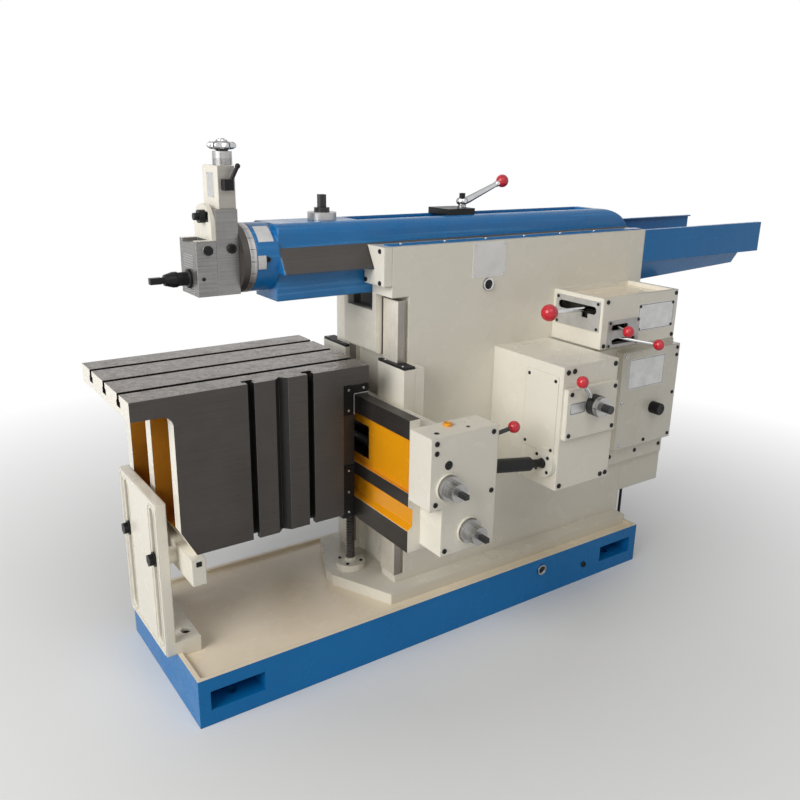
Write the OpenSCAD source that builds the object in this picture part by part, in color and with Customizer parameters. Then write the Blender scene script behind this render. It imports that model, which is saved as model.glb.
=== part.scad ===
// Metal shaper: a horizontal ram planes work that is clamped to a box table.
// Lengths are in millimetres, +Z is up, +X runs from the tool head to the rear and
// the operator stands on the -Y side. The origin is the middle of the base's underside.

/* [Base] */
// Length of the base
base_l = 1650; // [1500:10:1800]
// Width of the base
base_w = 530; // [480:10:600]
// Height of the base
base_h = 140; // [120:5:160]
// Width of the rim around the chip tray
rim_w = 14; // [8:1:24]
// Depth of the chip tray below the rim
tray_d = 10; // [5:1:14]
// Wall of the ribbed underside
base_wall = 28; // [20:1:36]
// Length of a foundation pocket
pocket_l = 152; // [120:2:170]
// Height of a foundation pocket
pocket_h = 56; // [46:2:62]
// Depth of a foundation pocket
pocket_d = 100; // [80:2:115]
// Floor of a foundation pocket above the ground
pocket_z = 44; // [32:2:50]
// Distance from the base's end to a pocket
pocket_end = 32; // [24:2:48]
// Diameter of a foundation bolt hole
anchor_d = 28; // [22:1:34]

/* [Column] */
// Distance from the base's front to the column casting
col_front = 696; // [690:1:720]
// Width of the column
col_w = 330; // [320:2:360]
// Height of the column above the base
col_h = 1037; // [1020:1:1060]
// Wall of the column beside the crank chamber
col_wall = 55; // [45:1:62]
// Overhang of the ram head in front of the casting
head_over = 56; // [46:1:64]
// Height of the ram head
head_h = 137; // [130:1:150]
// Width of the foot pad
pad_w = 432; // [400:2:460]
// Height of the foot pad above the tray
pad_h = 35; // [25:1:45]
// How far the vertical ways stand in front of the casting
way_over = 36; // [33:1:42]
// Thickness of the vertical ways
way_t = 23; // [18:1:25]
// Half the gap between the vertical ways
way_in = 92; // [90:1:100]
// Depth of the grooves behind the vertical ways
keep_d = 15; // [10:1:20]
// Length of the rear housing
rear_l = 212; // [206:2:240]
// Wall of the rear housing
rear_wall = 14; // [10:1:18]

/* [Ram] */
// Distance from the base's front to the ram's front face
ram_front = 349; // [335:1:355]
// Length of the ram
ram_l = 1341; // [1300:1:1380]
// Half width of the ram below its dovetail
ram_low = 64; // [58:1:66]
// Half width of the dovetail's lower edge
dove_low = 114; // [108:1:118]
// Height of the dovetail
dove_h = 64; // [58:1:68]
// Slope of the dovetail's flanks in degrees
dove_a = 60; // [56:1:64]
// Depth of the ram below its dovetail
ram_deep = 74; // [66:1:80]
// Height of the ram above its dovetail
ram_up = 60; // [52:1:68]
// Radius along the ram's top edges
ram_round = 28; // [18:1:40]
// Radius of the neck that carries the tool head
neck_r = 88; // [80:1:92]
// Length of the neck
neck_l = 62.7; // [50:0.1:70]

/* [Tool head] */
// Thickness of the swivel disc
disc_t = 18; // [14:1:24]
// Width of the graduated swivel ring
ring_t = 16; // [12:1:20]
// Half width of the tool slide
slide_w = 55; // [50:1:62]
// Depth of the tool slide
slide_t = 58; // [52:1:64]
// Length of the tool slide
slide_l = 210; // [190:1:220]
// Height of the screw housing on the slide
housing_h = 102; // [90:1:115]
// Depth of the screw housing
housing_t = 44; // [40:1:50]
// Radius of the down-feed handwheel
wheel_r = 38; // [32:1:46]
// Thickness of the apron
apron_t = 12; // [9:1:16]
// Depth of the apron's cheeks
cheek_t = 41; // [36:1:48]
// Height of the clapper
clap_h = 128; // [118:1:134]
// Reach of the tool post in front of the clapper
post_l = 102; // [80:1:130]

/* [Table] */
// Length of the table top
table_l = 644; // [600:2:690]
// Width of the table top
table_w = 404; // [380:2:430]
// Height of the table
table_h = 424; // [400:2:450]
// Thickness of the table top
slab_t = 48; // [44:1:56]
// Overhang of the table top at the front
slab_over = 100; // [80:2:130]
// Wall of the table box
table_wall = 40; // [36:1:46]
// Sideways offset of the table from the ram
table_y = 20; // [0:1:40]
// Width of a T-slot's mouth
tee_w = 18; // [14:1:22]
// Pitch of the T-slots in the top
tee_pitch = 119; // [110:1:124]

/* [Crossrail] */
// Height of the crossrail above the base
rail_up = 245; // [235:1:260]
// Height of the crossrail
rail_h = 378; // [370:1:390]
// Depth of the crossrail
rail_t = 93.9; // [90:0.1:100]
// Reach of the crossrail on the operator's side
rail_near = 365; // [350:1:380]
// Reach of the crossrail on the far side
rail_far = 500; // [480:1:560]
// Height of the way clamps above the crossrail's body
clamp_h = 112; // [90:1:120]
// Wall of the way clamps beside the ways
clamp_w = 57; // [45:1:65]
// Depth of the cross-feed gear box
gear_d = 95; // [85:1:110]
// Radius of the cross-feed screw
cross_r = 13; // [11:0.5:14]
// Radius of the elevating screw
lift_r = 14; // [13:0.5:16]
// Travel of the crossrail below its rest height
lift_down = 180; // [150:5:185]
// Travel of the crossrail above its rest height
lift_rise = 120; // [90:5:125]

/* [Boxes on the column] */
// Length of the feed box
feed_l = 217; // [200:1:225]
// Depth of the feed box
feed_d = 293; // [270:1:310]
// Height of the feed box
feed_h = 367; // [340:1:370]
// Length of the speed box
speed_l = 337; // [300:1:345]
// Depth of the speed box
speed_d = 203; // [190:1:215]
// Height of the speed box
speed_h = 154; // [148:1:165]
// Wall of the boxes
box_wall = 12; // [9:1:15]
// Thickness of the lever plates
plate_t = 4; // [3:0.5:6]
// Radius of the ball grips
ball_r = 17; // [14:1:19]
// Radius of the clutch lever's ball grip
clutch_ball_r = 25; // [20:1:28]

/* [Table support] */
// Width of the support plate
prop_w = 300; // [280:2:330]
// Height of the support plate
prop_h = 438; // [420:2:450]
// Thickness of the support plate
prop_t = 25; // [20:1:32]
// Length of the support's foot
prop_foot = 67; // [55:1:80]
// Depth of the support bar
bar_t = 36; // [30:1:44]
// Height of the support bar
bar_h = 72; // [60:1:78]
// Length of the support bar
bar_l = 470; // [430:2:500]

/* [Drive] */
// Teeth of the bull gear
bull_teeth = 60; // [54:6:66]
// Teeth of the pinion
pinion_teeth = 12; // [10:1:14]
// Distance from the crank pin to the bull gear's pitch circle
crank_rim = 62; // [58:1:66]
// Height of the crank centre above the middle of the rocker
crank_over = 22.5; // [15:0.5:25]
// Swing of the rocker to each side in degrees
swing = 24.05; // [22:0.05:24.5]
// Drop of the rocker's top pin below the ram
fork_drop = 47; // [44:1:52]
// Lean of the rocker at rest in degrees
rocker_lean = 4.94; // [3:0.01:6]
// Radius of the driven pulley
pulley_r = 120; // [100:1:125]
// Radius of the motor pulley
motor_pulley_r = 50; // [40:1:60]

/* [Clearances] */
// Gap between flat sliding faces
slip = 0.1; // [0.05:0.05:0.2]
// Radial running clearance of pins and shafts
run = 0.05; // [0.02:0.01:0.08]
// Gap round pieces that move past each other
pass = 0.5; // [0.4:0.1:1]
// Gap round bolts, screws and other loose pieces
loose = 2; // [1:0.5:3]

/* [Hidden] */
$fn = 48;
far = 2000;
function fx(d) = d - base_l / 2;

// Levels of the base and the column
tray_z = base_h - tray_d;
pad_top = tray_z + pad_h;
col_top = base_h + col_h;
half_col = col_w / 2;
side_y = -half_col;
col_x = fx(col_front);
rear_x = fx(base_l);
head_x = col_x - head_over;
way_x = col_x - way_over;
way_back = way_x + way_t;
head_z = col_top - head_h;
way_foot = 25;
way_gap = 10;
way_bot = pad_top + way_foot;
way_top = head_z - way_gap;
foot_in = 4;
lip_gap = 6;
lip_h = 174;
lip_r = 12;
lip_w = 2 * (way_in - lip_gap);
lip_z = head_z - lip_h;
front_wall = 44;
back_wall = 40;
roof_t = 40;
chamber_w = col_w - 2 * col_wall;
chamber_x0 = col_x + front_wall;
chamber_x1 = rear_x - back_wall;
chamber_z1 = head_z - roof_t;
nose_l = 166;
nose_w = 40;
shoulder_l = 78;

// Foundation bolts
anchor_x = base_l / 2 - pocket_end - pocket_l / 2;
anchor_y = base_w / 2 - pocket_d / 2;

// Ram and its guides
dove_over = 3;
dove_z = col_top - dove_h + dove_over;
dove_up = dove_z + dove_h;
dove_in = dove_h / tan(dove_a);
dove_top = dove_low - dove_in;
ram_x0 = fx(ram_front);
ram_x1 = ram_x0 + ram_l;
ram_bot = dove_z - ram_deep;
ram_top = dove_up + ram_up;
end_round = 150;
gib_t = 12;
cap_t = 26;
cap_up = 32;
cap_low = head_z + cap_up;
axis_up = 37;
axis_z = dove_z + axis_up;
trough_w = 90;
trough_h = 98;
trough_end = 76;
slot_w = 84;
slot_d = 26;
slot_front = 256;
slot_back = 165;
pos_at = 519;
pos_x = fx(pos_at);
pos_r = 12;
pos_in = 40;
pos_collar = [39, 20];
pos_nut = [21, 14];
pos_square = [18, 36];
clamp_at = 912;
clamp_x0 = fx(clamp_at);
clamp_l = 98;
clamp_half = 50;
clamp_t = 18;
stud_in = 10;
stud_r = 9;
stud_h = 42;
lever_x = clamp_x0 + clamp_l - stud_in;
clamp_hub = [18, 30];
clamp_bar_r = 8;
clamp_root = [10, 0, 16];
clamp_tip = [155, 0, 74];

// Tool head, measured forward from the neck
ring_gap = 0.3;
ring_x = ram_x0 - neck_l - ring_gap;
disc_x = ring_x - ring_t;
slide_back = disc_x - disc_t;
slide_x = slide_back - slide_t;
slide_drop = 83;
slide_bot = axis_z - slide_drop;
slide_top = slide_bot + slide_l;
housing_top = slide_top + housing_h;
housing_x = slide_back - housing_t;
housing_in = 7;
housing_w = slide_w - housing_in;
housing_cap = 25;
screw_in = 10;
screw_x = slide_back - screw_in;
screw_r = 8;
screw_gap = 12;
screw_up = 20;
guide_t = 24;
guide_w = 34;
guide_in = 8;
guide_up = 5;
guide_down = 25;
guide_bot = slide_bot + guide_up;
guide_top = slide_top - guide_down;
nut_h = 40;
spigot_r = 45;
spigot_l = 40;
apron_x = slide_x - apron_t - slip;
apron_over = 12;
apron_top = slide_top + apron_over;
apron_stud_r = 12;
apron_pivot_up = 6;
apron_pivot_z = axis_z + apron_pivot_up;
apron_bolt_r = 9;
apron_bolt_y = -14;
apron_bolt_down = 30;
apron_bolt_z = apron_top - apron_bolt_down;
apron_slot_l = 50;
apron_slot_gap = 3.5;
apron_nut = [16, 16];
apron_stud_out = 28;
head_in = 20;
clap_x = apron_x - cheek_t;
cheek_w = 17;
cheek_over = 9;
clap_in = slide_w - cheek_w;
clap_pin_r = 8;
clap_pin_in = 11;
clap_pin_down = 15;
clap_pin_x = apron_x - clap_pin_in;
clap_pin_z = slide_bot + clap_h - clap_pin_down;
clap_pin_head = [11, 8];
post_up = 40;
post_z = slide_bot + post_up;
post_r = 17;
post_collar = [24, 8];
post_tip = 35;
collar_r = 24;
collar_h = 33;
wheel_z = housing_top + collar_h;
wheel_h = 27;
lock_up = 58;
lock_back = 20;
lock_x = housing_x + lock_back;
lock_z = slide_top + lock_up;
lock_pin_r = 6;
lock_in = 11;
lock_hub = [24, 22, 26];
lock_bar_r = 5;
lock_ball_r = 6.5;
lock_root = [6, 8, 6];
lock_tip = [24, 2, 44];

// Crossrail, knee and table
rail_x = way_x - slip - rail_t;
rail_back = way_x - slip;
rail_z = base_h + rail_up;
rail_top = rail_z + rail_h;
rail_step = 25;
rail_body = rail_top - rail_step;
rail_lip = 33;
panel_in = 12;
panel_down = 53;
recess_in = 15;
recess_slope = [14, 12];
low_way = 64;
recess_h = 72;
mid_way = 39;
panel_z0 = rail_z + low_way + recess_h + mid_way;
panel_z1 = rail_top - panel_down;
cross_in = 56;
cross_up = 217;
cross_x = rail_x + cross_in;
cross_z = rail_z + cross_up;
channel_h = 40;
channel_back = 4;
channel_up = 78;
channel_y0 = -150;
channel_y1 = 390;
end_wall = 12;
clamp_lip = 15;
clamp_x = rail_back - clamp_lip;
clamp_out = half_col + clamp_w;
clamp_in = way_in - loose;
clamp_top = rail_body + clamp_h;
keeper_over = 19;
lift_in = 40;
lift_x = rail_x + lift_in;
lift_roof = 5;
lift_gap = 4;
lift_bore = cross_z - channel_h / 2 - lift_roof;
lift_top = lift_bore - lift_down - lift_gap;
inner_in = 12;
inner_bot = lift_top - lift_rise - inner_in;
lift_wall = 6;
inner_r = lift_r - lift_wall;
flange_r = 46;
flange_h = 22;
flange_collar = [5, 12];
saddle_t = 41;
saddle_w = 222;
saddle_foot = 1;
slab_back = 9;
table_x1 = rail_x - slip;
slab_x1 = table_x1 - slab_back;
rear_over = 80;
box_x1 = slab_x1 - rear_over;
table_x0 = slab_x1 - table_l;
box_x0 = table_x0 + slab_over;
table_up = 486;
table_top = rail_z + table_up;
table_bot = table_top - table_h;
slab_z = table_top - slab_t;
table_y0 = table_y - table_w / 2;
table_y1 = table_y + table_w / 2;
saddle_y0 = table_y - saddle_w / 2;
saddle_y1 = table_y + saddle_w / 2;
bay_w = (table_w - 3 * table_wall) / 2;
bay_top = 14;
cove_r = 28;
toe = [37, 70];
tee_head = 30;
tee_lip = 16;
tee_deep = 32;
side_slots = [300, 466];
vee_at = 384;
vee_w = 36;
hook_t = 22;
hook_leg = 12;
nut_l = 80;
nut_side = 50;
nut_y = table_y + nut_side;
nut_half = 18;

// Cross-feed gear box on the crossrail's near end
gear_l = 220;
gear_y1 = -rail_near;
gear_y0 = gear_y1 - gear_d;
gear_x0 = rail_x;
gear_x1 = rail_x + gear_l;
gear_step = 39;
gear_bot_up = 19;
gear_mid_up = 158;
gear_top_up = 357;
gear_bot = rail_z + gear_bot_up;
gear_mid = rail_z + gear_mid_up;
gear_top = rail_z + gear_top_up;
lift_dial_in = 130;
lift_dial_up = 77;
lift_dial_x = rail_x + lift_dial_in;
lift_dial_z = rail_z + lift_dial_up;
lift_shaft_r = 12;
dial_r = 29;
dial_l = 34;
dial_step = 4;
dial_rim = 16;
square_w = 13;
square_l = 32;
square_out = 30;
reverse_down = 52;
reverse_z = gear_top - reverse_down;
reverse_pin_r = 7.5;
reverse_pin_h = 10;
reverse_r = norm([reverse_pin_r, reverse_pin_h / 2]);
reverse_bar_r = 6;
reverse_out = [90, -8, 16];

// Boxes on the column's near side
feed_in = 319;
feed_up = 355;
feed_x0 = col_x + feed_in;
feed_x1 = feed_x0 + feed_l;
feed_y0 = side_y - feed_d;
feed_z0 = base_h + feed_up;
feed_z1 = feed_z0 + feed_h;
box_gap = 18;
speed_up = 722;
speed_x0 = feed_x1 + box_gap;
speed_x1 = speed_x0 + speed_l;
speed_y0 = side_y - speed_d;
speed_z0 = base_h + speed_up;
speed_z1 = speed_z0 + speed_h;
tray_deep = 14;
guard_l = 655;
guard_t = 4;
guard_in = 120;
guard_down = 102;
guard_drop = 74;
guard_fold = 16;
guard_cut = 88;
guard_rise = 26;
guard_edge = col_top - 1;
guard_bend = guard_edge - guard_down;
guard_floor = guard_bend - guard_drop;
rear_up = 98;
rear_gap = 40;
rear_x1 = rear_x + rear_l;
rear_z0 = base_h + rear_up;
rear_z1 = guard_floor - rear_gap;
cover_gap = 80;
cover_back = 22;
cover_up = 220;
cover_h = 430;
cover_x0 = feed_x1 + cover_gap;
cover_x1 = rear_x1 - cover_back;
cover_z0 = base_h + cover_up;
cover_z1 = cover_z0 + cover_h;
cover_t = 20;
cover_d = 30;
cover_in = [233, 68, 12];
knob_back = 115;
knob_up = 200;
knob_r = 21.5;
knob_l = 36;
knob_in = 15;
knob_shaft_r = 8;
knob_x = cover_x1 - knob_back;
knob_z = cover_z0 + knob_up;

// Feed box controls
pad_in = [6, 12, 210, 62];
feed_pad = [feed_x0 + pad_in[0], feed_x1 - pad_in[1], feed_z1 - pad_in[2], feed_z1 - pad_in[3]];
feed_pad_t = 16;
hub_in = [110, 117];
feed_hub = [feed_x1 - hub_in[0], feed_z1 - hub_in[1]];
feed_shaft_r = 12;
feed_shaft_in = 8;
feed_hub_r = 30;
feed_hub_l = 24;
feed_bar_r = 6;
feed_root = [-17, 18];
feed_tip = [-78, -26, 83];
feed_dial_r = 29;
feed_dial_l = 16;
feed_square_l = 44;
flange_up = 430;
flange_z = base_h + flange_up;
flange_t = 15;
shaft_flange_r = 42;
shaft_in = 46;
shaft_y = feed_y0 + shaft_in;
uj_rise = 35;
uj_x1 = feed_x0 - flange_t;
uj_x0 = gear_x1;
uj_z0 = flange_z + uj_rise;
uj_l = norm([uj_x1 - uj_x0, uj_z0 - flange_z]);
uj_a = atan2(uj_z0 - flange_z, uj_x1 - uj_x0);
sleeve_r = 20;
sleeve_bore = 17.5;
sleeve_ball = 17;
sleeve_l = 165;
sleeve_neck = [12, 26];
sleeve_floor = 8;
yoke_r = 15;
yoke_l = 45;
yoke_step = 3;
rod_r = 5;
rod_l = 170;
seat = 0.3;

// Speed box controls, placed from the box's lower front corner
plate_in = [26, 162, 2, 84];
upper_in = [38, 112, 63];
lower_in = [44, 148, 20];
speed_plate = [
    speed_x0 + plate_in[0], speed_x0 + plate_in[1], speed_z0 + plate_in[2], speed_z0 + plate_in[3]
];
slot_upper = [speed_x0 + upper_in[0], speed_x0 + upper_in[1], speed_z0 + upper_in[2]];
slot_lower = [speed_x0 + lower_in[0], speed_x0 + lower_in[1], speed_z0 + lower_in[2]];
lever_slot = 18;
lever_r = 4.5;
lever_hub_r = 12;
lever_hub_h = 8;
lever_pin_r = 6;
lever_in = 30;
shelf_up = 36;
shelf_z = speed_z0 + shelf_up;
shelf_t = 10;
upper_out = [3.5, -72, -12];
lower_out = [113, -92, -22];
upper_at = [66.5, 68];
lower_at = [79, 27];
upper_pivot = [speed_x0 + upper_at[0], speed_y0 + lever_in, speed_z0 + upper_at[1]];
lower_pivot = [speed_x0 + lower_at[0], speed_y0 + lever_in, speed_z0 + lower_at[1]];
clutch_in = [10, 15, 52, 12];
clutch_slot_in = [23, 25, 41];
clutch_at = [150, 68, 44];
clutch_plate = [
    speed_y0 + clutch_in[0], side_y - clutch_in[1], speed_z0 + clutch_in[2], speed_z1 - clutch_in[3]
];
clutch_slot = [speed_y0 + clutch_slot_in[0], side_y - clutch_slot_in[1], speed_z1 - clutch_slot_in[2]];
clutch_pivot = [speed_x0 + clutch_at[0], speed_y0 + clutch_at[1], speed_z1 - clutch_at[2]];
clutch_out = [-301, 0, 6];
clutch_rod_r = 7;
clutch_gap = 24;
clutch_drop = 26;
clutch_hub_h = 9;
clutch_pin_l = 17;
clutch_top = clutch_pivot[2] + clutch_hub_h;
tray_floor = speed_z1 - tray_deep;
ceiling_z = tray_floor - box_wall;

// Table support
prop_out = 2;
prop_side = 8;
prop_y = table_y + prop_side;
prop_x1 = fx(-prop_out);
prop_x0 = prop_x1 - prop_t;
prop_slot = 26;
prop_slot_y = 107;
prop_slot_end = 26;
prop_slot_z0 = base_h + prop_slot_end;
prop_slot_z1 = base_h + prop_h - prop_slot_end + 2;
foot_h = 35;
foot_bore = [13, 23];
boss_r = 22;
prop_bolt_r = 10;
prop_nut = [17, 14];
washer_t = 4;
bar_in = 26;
bar_gap = 0.2;
bar_x0 = fx(bar_in);
bar_z1 = table_bot - bar_gap;
bar_z0 = bar_z1 - bar_h;
bar_bolt_z = bar_z0 + bar_h / 2;

// Drive inside the column: the rocker spans from its pivot to the ram, and the crank follows it
arm_w = 130;
arm_t = 20;
arm_slot = 70;
arm_neck = 44;
arm_bridge = 24;
block_l = 80;
block_gap = 8;
gear_at = 1180;
gear_x = fx(gear_at);
pivot_up = 75;
pivot_gap = 5;
pivot_z = pad_top + pivot_up;
rocker_l = ram_bot - fork_drop - pivot_z;
crank_up = rocker_l / 2 + crank_over;
crank_r = crank_up * sin(swing);
gear_m = 2 * (crank_r + crank_rim) / bull_teeth;
chamber_z0 = pivot_z - arm_w / 2 - pivot_gap;
gear_z = pivot_z + crank_up;
bull_r = bull_teeth * gear_m / 2;
pinion_r = pinion_teeth * gear_m / 2;
mesh_a = 20;
pinion_x = gear_x + (bull_r + pinion_r) * cos(mesh_a);
pinion_z = gear_z + (bull_r + pinion_r) * sin(mesh_a);
pinion_over = 4;
bull_y0 = 48;
bull_y1 = 92;
bull_web = 12;
bull_rim = 30;
bull_hub = 20;
pin_boss = 12;
journal_r = 60;
journal_gap = 3;
shaft_r = 22;
pin_r = 24;
rocker_pin_r = 25;
pin_in = 32;
top_pin_r = 14;
fork_w = 52;
fork_wall = 20;
fork_out = 42;
fork_gap = 4;
fork_over = 5;
link_half = 60;
link_t = 12;
lean = [sin(rocker_lean), cos(rocker_lean)];
link_x = gear_x + rocker_l * lean[0];
crank_s = crank_up * lean[1] + sqrt(pow(crank_r, 2) - pow(crank_up * lean[0], 2));
crank_x = gear_x + crank_s * lean[0];
crank_z = pivot_z + crank_s * lean[1];
belt_out = 20;
belt_y = half_col + belt_out;
belt_w = 50;
belt_t = 8;
belt_gap = 0.5;
guard_d = 84;
guard_gap = 18;
motor_in = 100;
motor_up = 108;
motor_x = rear_x + motor_in;
motor_z = rear_z0 + rear_wall + motor_up;
motor_r = 88;
motor_l = 216;
motor_fin = 10;
motor_foot = [70, 40, 24];
motor_box = [45, 38];
motor_shaft_r = 14;
motor_shaft_in = 40;
motor_hole_r = 30;

// Sight glasses, the oil pipe and its route
glass_r = 18;
glass_t = 7;
glass_rim = 4;
base_glass_at = 1182;
base_glass_down = 39;
column_glass_in = 278;
column_glass_up = 12;
pipe_r = 5;
pipe_in = [32, 12];
function dove_y(z) = dove_low - (z - dove_z) / tan(dove_a);

// Points of an arc from angle a0 to angle a1
arc_n = 24;
function arc(c, r, a0, a1) =
    [for (i = [0 : arc_n]) let (a = a0 + (a1 - a0) * i / arc_n) c + r * [cos(a), sin(a)]];

// Paints and metals
cream = [0.90, 0.88, 0.80];
blue = [0.10, 0.40, 0.68];
steel = [0.42, 0.42, 0.42];
bright = [0.75, 0.76, 0.78];
oxide = [0.08, 0.08, 0.09];
red = [0.80, 0.06, 0.08];
dark_iron = [0.30, 0.30, 0.31];
rubber = [0.06, 0.06, 0.06];

// A box between two opposite corners
module block(lo, hi) {
    translate(lo) cube(hi - lo);
}

// A round bar between two points
module bar(p, q, r) {
    v = q - p;
    l = norm(v);
    translate(p) rotate([0, acos(v[2] / l), atan2(v[1], v[0])]) cylinder(h = l, r = r);
}

// A ball on the end of a bar from p to q, with its poles in line with the bar
module bar_ball(p, q, r) {
    v = q - p;
    translate(q) rotate([0, acos(v[2] / norm(v)), atan2(v[1], v[0])]) sphere(r = r);
}

// A round bar along X, Y or Z from a point
module along_x(p, r, l) {
    translate(p) rotate([0, 90, 0]) cylinder(h = l, r = r);
}

module along_y(p, r, l) {
    translate(p) rotate([-90, 0, 0]) cylinder(h = l, r = r);
}

module along_z(p, r, l) {
    translate(p) cylinder(h = l, r = r);
}

// An outline drawn in Y and Z and stretched along X
module section_x(x0, x1) {
    translate([x0, 0, 0]) rotate([90, 0, 90]) linear_extrude(x1 - x0) children();
}

// An outline drawn in X and Z and stretched along Y
module section_y(y0, y1) {
    translate([0, y1, 0]) rotate([90, 0, 0]) linear_extrude(y1 - y0) children();
}

// The same shape on both sides of the ram's middle plane
module both_sides() {
    children();
    mirror([0, 1, 0]) children();
}

// A rectangle with two rounded ends, along X
module slot_2d(l, w) {
    square([l - w, w], center = true);
    for (s = [-1, 1]) translate([s * (l - w) / 2, 0]) circle(d = w);
}

// Toothed wheel outline with straight-sided teeth
module gear_2d(teeth, module_size) {
    pitch = teeth * module_size / 2;
    tip = pitch + 0.7 * module_size;
    root = pitch - 0.95 * module_size;
    step = 360 / teeth;
    polygon([for (i = [0 : teeth - 1]) for (p = [[root, -0.33], [tip, -0.11], [tip, 0.11], [root, 0.33]])
        p[0] * [cos((i + p[1]) * step), sin((i + p[1]) * step)]]);
}

// Base

module base() {
    cells = 6;
    rib = base_wall / 2;
    mid_l = 2 * (anchor_x - pocket_l / 2 - rib);
    cell_l = (mid_l - (cells + 1) * rib) / cells;
    end_l = pocket_l + pocket_end - base_wall;
    end_w = base_w / 2 - pocket_d - rib;
    ceiling = tray_z - base_wall;
    color(blue) difference() {
        block([-base_l / 2, -base_w / 2, 0], [base_l / 2, base_w / 2, base_h]);
        block(
            [-base_l / 2 + rim_w, -base_w / 2 + rim_w, tray_z],
            [base_l / 2 - rim_w, base_w / 2 - rim_w, base_h + 1]
        );
        for (side = [-1, 1]) {
            for (i = [0 : cells - 1]) {
                x = -mid_l / 2 + rib + i * (cell_l + rib);
                y = side * (base_w / 4 - base_wall / 2 + rib / 4);
                w = base_w / 2 - base_wall - rib / 2;
                block([x, y - w / 2, -1], [x + cell_l, y + w / 2, ceiling]);
            }
            for (end = [-1, 1]) {
                x = end * (base_l / 2 - base_wall - end_l / 2);
                y = side * (rib / 2 + (end_w - rib / 2) / 2);
                half_w = (end_w - rib / 2) / 2;
                block([x - end_l / 2, y - half_w, -1], [x + end_l / 2, y + half_w, ceiling]);
                pocket_y = side * (base_w / 2 - pocket_d / 2);
                translate([end * anchor_x, pocket_y + side / 2, pocket_z + pocket_h / 2])
                    cube([pocket_l, pocket_d + 1, pocket_h], center = true);
                along_z([end * anchor_x, side * anchor_y, -1], anchor_d / 2, pocket_z + 2);
            }
        }
        along_z([lift_x, 0, -1], inner_r + loose, base_h);
    }
}

module support_bracket() {
    color(cream) difference() {
        union() {
            block([prop_x0, prop_y - prop_w / 2, base_h], [prop_x1, prop_y + prop_w / 2, base_h + prop_h]);
            block([prop_x0, prop_y - prop_w / 2, base_h], [fx(rim_w), prop_y + prop_w / 2, base_h + foot_h]);
            block(
                [fx(rim_w), prop_y - prop_w / 2, tray_z],
                [fx(prop_foot), prop_y + prop_w / 2, base_h + foot_h]
            );
        }
        for (s = [-1, 1]) {
            translate([prop_x0 - 1, prop_y + s * prop_slot_y, (prop_slot_z0 + prop_slot_z1) / 2])
                rotate([90, 0, 90]) linear_extrude(prop_t + 2)
                rotate(90) slot_2d(prop_slot_z1 - prop_slot_z0, prop_slot);
            bolt_x = fx((rim_w + prop_foot) / 2);
            along_z(
                [bolt_x, prop_y + s * prop_slot_y, base_h + foot_h - foot_bore[1]],
                foot_bore[0], foot_bore[1] + 1
            );
        }
    }
}

module support_bar() {
    boss_l = bar_x0 - prop_x1;
    color(cream) difference() {
        union() {
            block([bar_x0, prop_y - bar_l / 2, bar_z0], [bar_x0 + bar_t, prop_y + bar_l / 2, bar_z1]);
            for (s = [-1, 1])
                along_x([prop_x1 + slip, prop_y + s * prop_slot_y, bar_bolt_z], boss_r, boss_l);
        }
        for (s = [-1, 1])
            along_x([prop_x1, prop_y + s * prop_slot_y, bar_bolt_z], prop_bolt_r + run, boss_l + bar_t / 2);
    }
}

module support_bolts() {
    face = prop_x0 - slip;
    color(oxide) for (s = [-1, 1]) translate([0, prop_y + s * prop_slot_y, bar_bolt_z]) {
        along_x([face - washer_t, 0, 0], boss_r - loose, washer_t);
        translate([face - washer_t - prop_nut[1] + 1, 0, 0])
            rotate([0, 90, 0]) cylinder(h = prop_nut[1], r = prop_nut[0], $fn = 6);
        along_x([face - washer_t, 0, 0], prop_bolt_r, bar_x0 + bar_t / 2 - 1 - face);
    }
}

// Column and its fixed guides

module way_cut_2d() {
    low = dove_z - slip;
    polygon([
        [-dove_y(low) - gib_t, low], [-dove_y(col_top + 1) - gib_t, col_top + 1],
        [dove_y(col_top + 1) + slip, col_top + 1], [dove_y(low) + slip, low]
    ]);
}

module column() {
    color(cream) difference() {
        union() {
            translate([0, 0, tray_z]) linear_extrude(pad_h) polygon([
                [col_x - nose_l, -nose_w / 2], [col_x - shoulder_l, -pad_w / 2],
                [rear_x - rim_w, -pad_w / 2], [rear_x - rim_w, pad_w / 2],
                [col_x - shoulder_l, pad_w / 2], [col_x - nose_l, nose_w / 2]
            ]);
            block([col_x, -half_col, pad_top], [rear_x, half_col, col_top]);
            block([head_x, -half_col, head_z], [col_x, half_col, col_top]);
            difference() {
                block([head_x, -lip_w / 2, lip_z], [col_x, lip_w / 2, head_z]);
                difference() {
                    block([head_x - 1, -lip_w, lip_z - 1], [head_x + lip_r, lip_w, lip_z + lip_r]);
                    along_y([head_x + lip_r, -lip_w, lip_z + lip_r], lip_r, 2 * lip_w);
                }
            }
            both_sides() {
                block([way_x, way_in, way_bot], [col_x, half_col, way_top]);
                block([way_x + foot_in, way_in, pad_top], [col_x, half_col, way_bot]);
            }
        }
        both_sides() block([way_back, half_col - keep_d, way_bot], [col_x, half_col + 1, head_z]);
        block([chamber_x0, -chamber_w / 2, chamber_z0], [chamber_x1, chamber_w / 2, chamber_z1]);
        block([head_x - 1, -ram_low - loose, chamber_z1 - 10], [rear_x + 1, ram_low + loose, dove_z]);
        section_x(head_x - 1, rear_x + 1) way_cut_2d();
        along_y([gear_x, -chamber_w / 2 - pin_in, pivot_z], rocker_pin_r + run, chamber_w + 2 * pin_in);
        along_y([pinion_x, 0, pinion_z], shaft_r + run, half_col + 1);
        along_y([gear_x, 0, gear_z], journal_r + run, half_col + 1);
        along_z([lift_x, 0, tray_z - 1], inner_r + loose, pad_h + 2);
    }
}

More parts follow.
